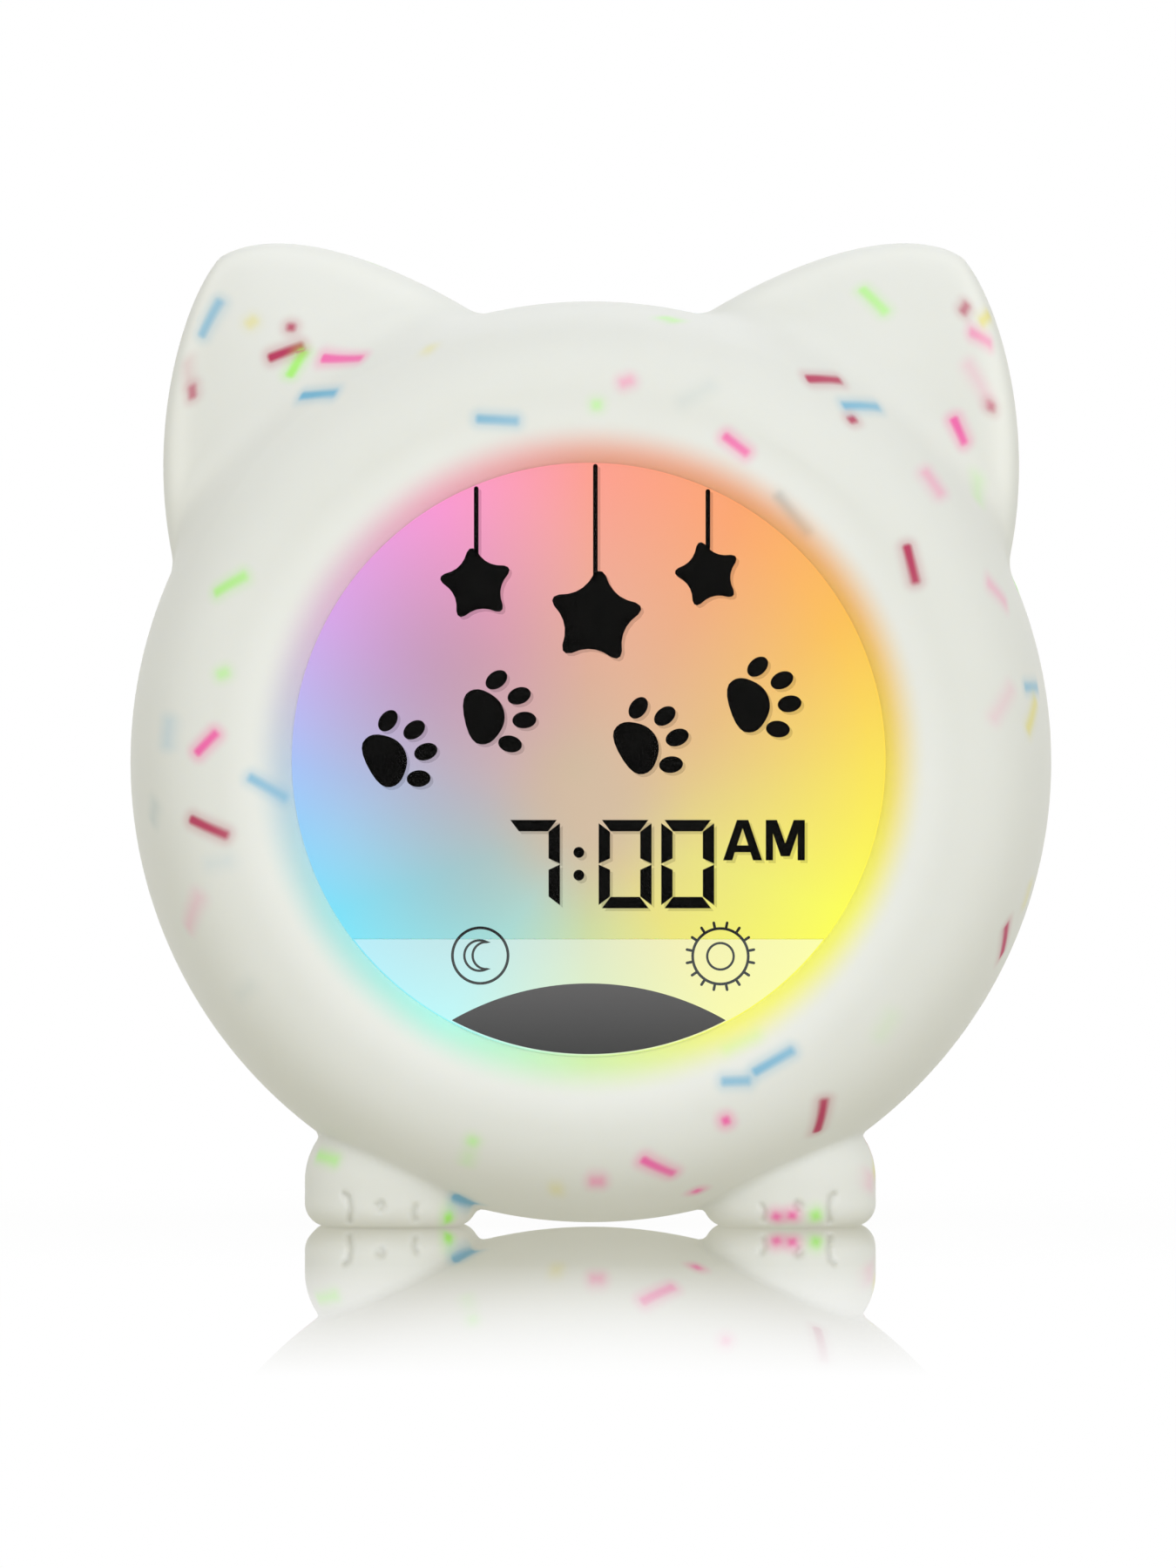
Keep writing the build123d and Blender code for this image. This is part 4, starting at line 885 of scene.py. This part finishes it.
# Left halves of the two letters, as shares of their size
halfA = [(0, 0), (0.235, 0), (0.30, 0.20), (0.5, 0.20), (0.5, 0.37), (0.355, 0.37), (0.5, 0.79), (0.5, 1)]
halfA += [(0.355, 1)]
halfM = [(0, 0), (0.185, 0), (0.185, 0.66), (0.385, 0.10), (0.5, 0.10), (0.5, 0.42), (0.285, 1), (0, 1)]
timeShapes, motifShapes = [], []
for left, lit in zip(display["digitLefts"], ("abc", "abcdef", "abcdef")):
    timeShapes += digitShapes(left, lit)
x, heights, size = display["colon"]
timeShapes += [disc(x, z, size) for z in heights]
for left, half in zip(display["amLeft"], (halfA, halfM)):
    timeShapes += letterShapes(left, half)
low, margin = display["stringEnds"]
for x, z, size, turn in display["stars"]:
    top = math.sqrt((windowRadius - margin) ** 2 - x**2)
    string = ribbon([(x, z + low * size), (x, top)], display["stringWidth"])
    motifShapes += [starShape(x, z, size, turn), string]
for track in display["tracks"]:
    motifShapes += trackShapes(*track)
ink = inkMaterial("crystalInk", "#100F0E", 1.0)
shadowInk = inkMaterial("crystalShadow", "#1A1A1A", display["shadowShare"])
for name, shapes in (("timeSegments", timeShapes), ("motifSegments", motifShapes)):
    plate(name, shapes, *display["ink"], ink, "lcd")
    # painted shadow: a faint dark copy of the art, shifted, just above the light layer
    shifted = [moved(shape, *display["shadowShift"]) for shape in shapes]
    plate(name + "Shadow", shifted, *display["shadow"], shadowInk, "lcd")
print("stage: display art made")

# Printed layer on the back of the window: the touch icons and the dark name panel, left bare.
printed = {
    "layer": (lensBack + 0.015, 0.015),  # front and thickness
    "moon": (-16.4, -29.6),
    "sun": (19.9, -29.7),
    "ring": 4.2,
    "stroke": 0.42,
    "thin": 0.36,
    "moonArcs": ((-0.1, 2.3, 62, 298), (0.9, 2.05, 288, 72)),  # across, radius, and degrees where they end
    "sunDisc": 2.0,
    "rays": 16,
    "rayReach": (4.5, 5.15),
    "panelEnds": (20.6, -39.3),
    "panelTop": -33.8,
    "panelMargin": 0.15,
    "iconGreys": ("#4A4F4E", "#1B1B1B", -27.6, -26.6),  # the lower and the upper grey, and their heights
    "panelGreys": ("#454444", "#686666", -45.0, -33.8),
}


def iconShapes():
    moon, sun = printed["moon"], printed["sun"]
    shapes = [hoop(*middle, printed["ring"], printed["stroke"], 64) for middle in (moon, sun)]
    x, z = moon
    outer, inner = [arcPoints(x + shift, z, *arc, 28) for shift, *arc in printed["moonArcs"]]
    shapes.append(ribbon(outer + inner[1:-1], printed["thin"], closed=True))
    x, z = sun
    shapes.append(hoop(x, z, printed["sunDisc"], printed["thin"], 48))
    for i in range(printed["rays"]):
        a = 2 * math.pi * (i + 0.5) / printed["rays"]
        ends = [(x + r * math.cos(a), z + r * math.sin(a)) for r in printed["rayReach"]]
        shapes.append(ribbon(ends, printed["stroke"]))
    return shapes


def namePanel():
    endX, endZ = printed["panelEnds"]
    rise = printed["panelTop"] - endZ
    radius = (endX**2 + rise**2) / (2 * rise)
    reach = math.degrees(math.asin(endX / radius))
    top = arcPoints(0, printed["panelTop"] - radius, radius, 90 + reach, 90 - reach)
    edge = math.degrees(math.atan2(-endZ, endX))
    bottom = arcPoints(0, 0, windowRadius - printed["panelMargin"], -edge, edge - 180)
    return [(top + bottom, [list(range(len(top) + len(bottom)))])]


def printMaterial(name, low, high, bottom, top):  # screen print that fades from one grey to another with height; its greys are emitted, painted light as if the backlight shone through the ink
    material, add, place = newMaterial(name)
    height = add("SeparateXYZ", [place], out="Z")
    share = add("MapRange", [height, (dialHeight + bottom) * mm, (dialHeight + top) * mm])
    colour = add("Mix", {0: share, 6: linear(low), 7: linear(high)}, **rgba)
    # painted light: the grey glows by emission over a near-black base
    inputs = {"Base Color": linear("#101010"), "Roughness": 0.5, "Specular IOR Level": 0.1}
    return surfaced(material, inputs | {"Emission Color": colour, "Emission Strength": 0.85})


iconPrint = printMaterial("iconPrint", *printed["iconGreys"])
panelPrint = printMaterial("panelPrint", *printed["panelGreys"])
plate("touchIcons", iconShapes(), *printed["layer"], iconPrint, "film")
plate("namePanel", namePanel(), *printed["layer"], panelPrint, "film")
print("stage: window print made")

# Marks printed on the rear panel, drawn as seen from behind, in mm about their own middle
marks = {
    "layer": (panelFace - 0.02, 0.12),  # front and thickness
    "stroke": 0.5,
    "inset": 8.0,  # from a button's middle towards the speaker
    "powerSpread": 5.8,
    "boltInset": 8.2,
}


def markShapes():
    line, bar = marks["stroke"], 0.27
    spread = marks["powerSpread"]
    teeth = []
    for i in range(8):
        a = math.pi * i / 4
        teeth.append(ribbon([(r * math.cos(a), r * math.sin(a)) for r in (1.75, 2.0)], 0.6))
    heads = [disc(x, z, 0.72, 0.55, 25, 20) for x, z in ((-1.35, -1.45), (1.15, -1.0))]
    stems = [(-0.83, -1.05), (-0.83, 1.35), (1.67, 1.85), (1.67, -0.6)]
    arm = [(bar, bar), (bar, 1.7), (-bar, 1.7)]
    cross = [moved((arm, None), turn=90 * i)[0] for i in range(4)]
    flash = [(0.35, 2.1), (-1.1, -0.3), (-0.1, -0.3), (-0.35, -2.1), (1.1, 0.3), (0.1, 0.3)]
    return {
        "light": [
            ribbon(arcPoints(0, 0.5, 1.35, -55, 235, 26), line),
            *[ribbon([(-half, z), (half, z)], line) for half, z in ((0.6, -1.35), (0.4, -2.15))],
        ],
        "sound": [*heads, ribbon(stems, line)],
        "timer": [hoop(0, 0, 1.85, line, 40), ribbon([(0, 1.05), (0, 0), (0.8, -0.45)], 0.4)],
        "set": [hoop(0, 0, 1.25, 0.6, 32), *teeth],
        "plus": [(sum(cross, []), [list(range(12))])],
        "minus": [([(-1.7, -bar), (1.7, -bar), (1.7, bar), (-1.7, bar)], [[0, 1, 2, 3]])],
        "power": [ribbon([(-spread, -1.1), (-spread, 1.1)], line), hoop(spread, 0, 1.2, line, 32)],
        "charge": [(flash, [list(range(6))])],
    }


def middleOf(node):
    low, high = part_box(node)
    return (low.x + high.x) / 2 / mm, (low.z + high.z) / 2 / mm - dialHeight


def grainedPlastic(name, hexColour, shade, roughness, grain, lift, ior=1.5, scatter=0.0):
    # moulded plastic: an even colour, broken a little by flow, with the fine etch of its mould
    material, add, place = newMaterial(name)
    colour = mottled(add, place, 60.0, shade, hexColour)
    etch = add("TexNoise", {"Vector": place, "Scale": 1 / (grain * mm), "Detail": 3})
    bump = add("Bump", {"Height": etch, "Strength": 0.5, "Distance": lift * mm})
    inputs = {"Base Color": colour, "Roughness": roughness, "IOR": ior, "Normal": bump}
    return surfaced(material, inputs | {"Subsurface Weight": scatter, "Subsurface Scale": 0.6 * mm})


def platedMetal(name, hexColour, roughness, streak):
    # plated or drawn metal: bright, with faint streaks left by the die
    material, add, place = newMaterial(name)
    stretched = add("VectorMath", [place, (1.0, 0.12, 1.0)], **times)
    lines = add("TexNoise", {"Vector": stretched, "Scale": 1 / (streak * mm), "Detail": 3})
    gloss = add("MapRange", [lines, 0.0, 1.0, roughness - 0.06, roughness + 0.1])
    return surfaced(material, {"Base Color": linear(hexColour), "Metallic": 1.0, "Roughness": gloss})


def wovenCloth(name, hexColour, shade, pitch):
    # speaker cloth: two sets of threads, drawn coarser than real so that the weave shows
    material, add, place = newMaterial(name)
    inputs = {"Vector": place, "Scale": 1 / (pitch * mm) / 6.28}
    waves = [add("TexWave", inputs, out="Fac", bands_direction=way) for way in ("X", "Z")]
    weave = add("Math", waves, **times)
    colour = add("Mix", {0: weave, 6: linear(shade), 7: linear(hexColour)}, **rgba)
    bump = add("Bump", {"Height": weave, "Strength": 0.6, "Distance": 0.1 * mm})
    return surfaced(material, {"Base Color": colour, "Roughness": 0.9, "Normal": bump})


def coatedAcrylic(name):
    # clear window with a hard anti-glare coat, so the index at its surface is low and it mirrors little
    material, add, place = newMaterial(name)
    clear = add("BsdfTransparent", {"Color": linear("#FDFEFE")})
    haze = add("TexNoise", {"Vector": place, "Scale": 25.0})
    gloss = add("MapRange", [haze, 0.0, 1.0, 0.03, 0.08])
    mirror = add("BsdfGlossy", {"Color": (1, 1, 1, 1), "Roughness": gloss})
    edge = add("Fresnel", {"IOR": 1.1})
    return surfaced(material, add("MixShader", [edge, clear, mirror]))


def litPhosphor(name):
    # LED package: a pale yellow phosphor window that glows
    material, add, place = newMaterial(name)
    colour = mottled(add, place, 900.0, "#F4E3A0", "#FFF6D0")
    inputs = {"Base Color": colour, "Roughness": 0.3, "Emission Color": colour, "Emission Strength": 0.4}
    return surfaced(material, inputs)


plastics = {  # colour, shade, roughness, pitch and height of the etch in mm, then parts of nodes' names
    "etchedAbs": ("#F1F1EC", "#E9E9E3", 0.55, 0.4, 0.06, ("front_case", "rear_case", "battery_clamp")),
    "polishedAbs": ("#D9DCDD", "#D2D5D6", 0.28, 0.8, 0.01, ("button_",)),
    "ivoryNylon": ("#E9E4D4", "#E0DAC8", 0.5, 0.3, 0.02, ("board_sockets",)),
    "blackNylon": ("#1E1E20", "#161618", 0.5, 0.25, 0.04, ("power_switch_",)),
    "plungerNylon": ("#26262A", "#1C1C20", 0.45, 0.2, 0.02, ("plunger_",)),
    "greenSolderMask": ("#14552F", "#0F4726", 0.35, 0.3, 0.01, ("main_board", "usb_board")),
    "whiteSolderMask": ("#ECEDEA", "#E2E3E0", 0.35, 0.3, 0.01, ("led_board",)),
    "epoxyMould": ("#1B1B1D", "#141416", 0.6, 0.15, 0.02, ("main_chips",)),
    "shrinkWrap": ("#2F6FA8", "#275F93", 0.25, 2.0, 0.02, ("battery_cell",)),
    "closedFoam": ("#232323", "#181818", 0.9, 0.3, 0.15, ("speaker_seal",)),
    "pressedPaper": ("#26262A", "#1C1C20", 0.85, 0.5, 0.1, ("speaker_cone",)),
    # the opal one with its index and its scattering too
    "opalPolycarbonate": ("#F6F6F2", "#F0F0EC", 0.45, 0.5, 0.01, 1.58, 0.5, ("diffuser_", "reflector_")),
}
metals = {  # colour, roughness and pitch of the streaks in mm, then parts of nodes' names
    "zincPlatedSteel": ("#C9CCD0", 0.32, 0.3, ("_screws",)),
    "nickelPlatedSteel": ("#BFBDB6", 0.22, 0.4, ("speaker_magnet", "speaker_basket", "usb_socket", "tact_")),
    "drawnAluminium": ("#D5D7DA", 0.28, 0.5, ("capacitors",)),
}
finishes = {grainedPlastic(name, *look): parts for name, (*look, parts) in plastics.items()}
finishes |= {platedMetal(name, *look): parts for name, (*look, parts) in metals.items()}
finishes |= {
    litPhosphor("ledPhosphor"): ("leds",),
    coatedAcrylic("coatedAcrylic"): ("window_lens",),
    backlitGlass("backlitCrystal", 0.0, 0.35): ("lcd_panel", "glow_frame"),
    backlitGlass("backlitFilm", backlight["bandWhite"], 0.4): ("touch_film",),
}
for finish, parts in finishes.items():
    for node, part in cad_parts.items():
        if any(word in node for word in parts):
            for materialSlot in part.material_slots:
                materialSlot.material = finish
print("stage: CAD pieces finished")

powerX, portZ = middleOf("power_switch_body")
spots = {"power": (powerX, portZ), "charge": (middleOf("usb_socket")[0] + marks["boltInset"], portZ)}
for name in ("light", "sound", "timer", "set", "plus", "minus"):
    x, z = middleOf("button_" + name)
    spots[name] = (x - math.copysign(marks["inset"], x), z)
markInk = grainedPlastic("markInk", "#8C9193", "#84898B", 0.5, 0.4, 0.01)
for name, shapes in markShapes().items():
    placed = [moved(shape, *spots[name], flip=True) for shape in shapes]
    plate("mark_" + name, placed, *marks["layer"], markInk, "white_abs")
grille = {"radius": 15.3, "sunk": 0.12, "thickness": 0.15, "pitch": 0.55}  # its cloth, in mm
cloth = wovenCloth("speakerCloth", "#34353A", "#141518", grille["pitch"])
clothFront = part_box("speaker_seal")[0].y / mm + grille["sunk"]
clothDisc = disc(*middleOf("speaker_seal"), grille["radius"], sides=64)
plate("speakerCloth", [clothDisc], clothFront, grille["thickness"], cloth, "foam")
print("stage: rear panel finished")

# Floor and light: a white sweep that mirrors the object faintly near its feet, and soft studio lamps.
studio = {
    "floorHalf": 4.5,
    "floorWhite": "#F7F7F5",
    "bounce": ("#FFFDEC", 0.60),  # warm even light that the sweep sends back from below, and its strength
    "mirrorShare": 1.14,
    "mirrorFade": (0.19, 0.64),  # m from the middle, where the reflection starts to fade and where it ends
    "shadowFade": (0.08, 0.22),  # the same for the shadow
    "air": ("#FFFFF7", 0.585),  # even light of the room
    "lampColour": "#F3F6FF",
    "lampAim": (0, 0, 0.08),
    "lampHeight": 1.0,
    "lamps": {  # place and width in m, watts
        "keySoftbox": ((0.25, -1.7, 0.7), 1.3, 12.6),
        "topSoftbox": ((0.0, -0.7, 1.8), 1.4, 1.2),
        "leftSoftbox": ((-1.6, -0.5, 1.1), 0.8, 2.2),
        "rightSoftbox": ((1.6, -0.4, 1.1), 0.8, 2.8),
        "rearSoftbox": ((0.2, 1.6, 1.3), 1.4, 4.0),
    },
}


def seenRays(add):  # 1 for what is seen straight, mirrored or through the window, 0 for what only lights
    rays = add("LightPath").node.outputs
    seen = rays["Is Camera Ray"]
    for kind in ("Is Glossy Ray", "Is Transmission Ray"):
        seen = add("Math", [seen, rays[kind]], operation="MAXIMUM")
    return seen


def floorMaterial():
    material, add, place = newMaterial("studioFloor")
    away = add("VectorMath", [place], **length)
    fades = [add("MapRange", [away, *studio[ends], 1.0, 0.0]) for ends in ("mirrorFade", "shadowFade")]
    mirrorFade, shadowFade = fades
    matt = add("BsdfDiffuse", {"Color": linear(studio["floorWhite"])})
    warm, strength = studio["bounce"]
    bounce = add("Emission", {"Color": linear(warm), "Strength": strength})
    white = add("Emission", {"Color": (1, 1, 1, 1), "Strength": 1.0})
    near = add("MixShader", [shadowFade, white, matt])
    mirror = add("BsdfGlossy", {"Color": (1, 1, 1, 1), "Roughness": 0.0})
    edge = add("Fresnel", {"IOR": 1.45})
    share = add("Math", [edge, studio["mirrorShare"]], operation="MULTIPLY", use_clamp=True)
    share = add("Math", [share, mirrorFade], **times)
    look = add("MixShader", [share, near, mirror])
    return surfaced(material, add("MixShader", [seenRays(add), bounce, look]))


half = studio["floorHalf"]
floorMesh = bpy.data.meshes.new("studioFloor")
corners = [(-half, -half, 0), (half, -half, 0), (half, half, 0), (-half, half, 0)]
floorMesh.from_pydata(corners, [], [(0, 1, 2, 3)])
floorMesh.materials.append(floorMaterial())
floor = addObject("studioFloor", floorMesh)
for name, (spot, width, watts) in studio["lamps"].items():
    lamp = bpy.data.lights.new(name, "AREA")
    lamp.shape = "RECTANGLE"
    lamp.size, lamp.size_y, lamp.energy = width, studio["lampHeight"], watts
    lamp.color = linear(studio["lampColour"])[:3]
    holder = addObject(name, lamp)
    holder.location = spot
    holder.rotation_euler = (Vector(studio["lampAim"]) - Vector(spot)).to_track_quat("-Z", "Y").to_euler()
world = bpy.data.worlds.new("studioAir")
add = emptied(world)
tint, strength = studio["air"]
inputs = {0: seenRays(add), 6: [strength * part for part in linear(tint)], 7: (1, 1, 1, 1)}
air = add("Background", {"Color": add("Mix", inputs, **rgba), "Strength": 1.0})
add("OutputWorld", {"Surface": air})
bpy.context.scene.world = world
bpy.context.scene.view_settings.view_transform = "Standard"
print("stage: floor and lamps placed")
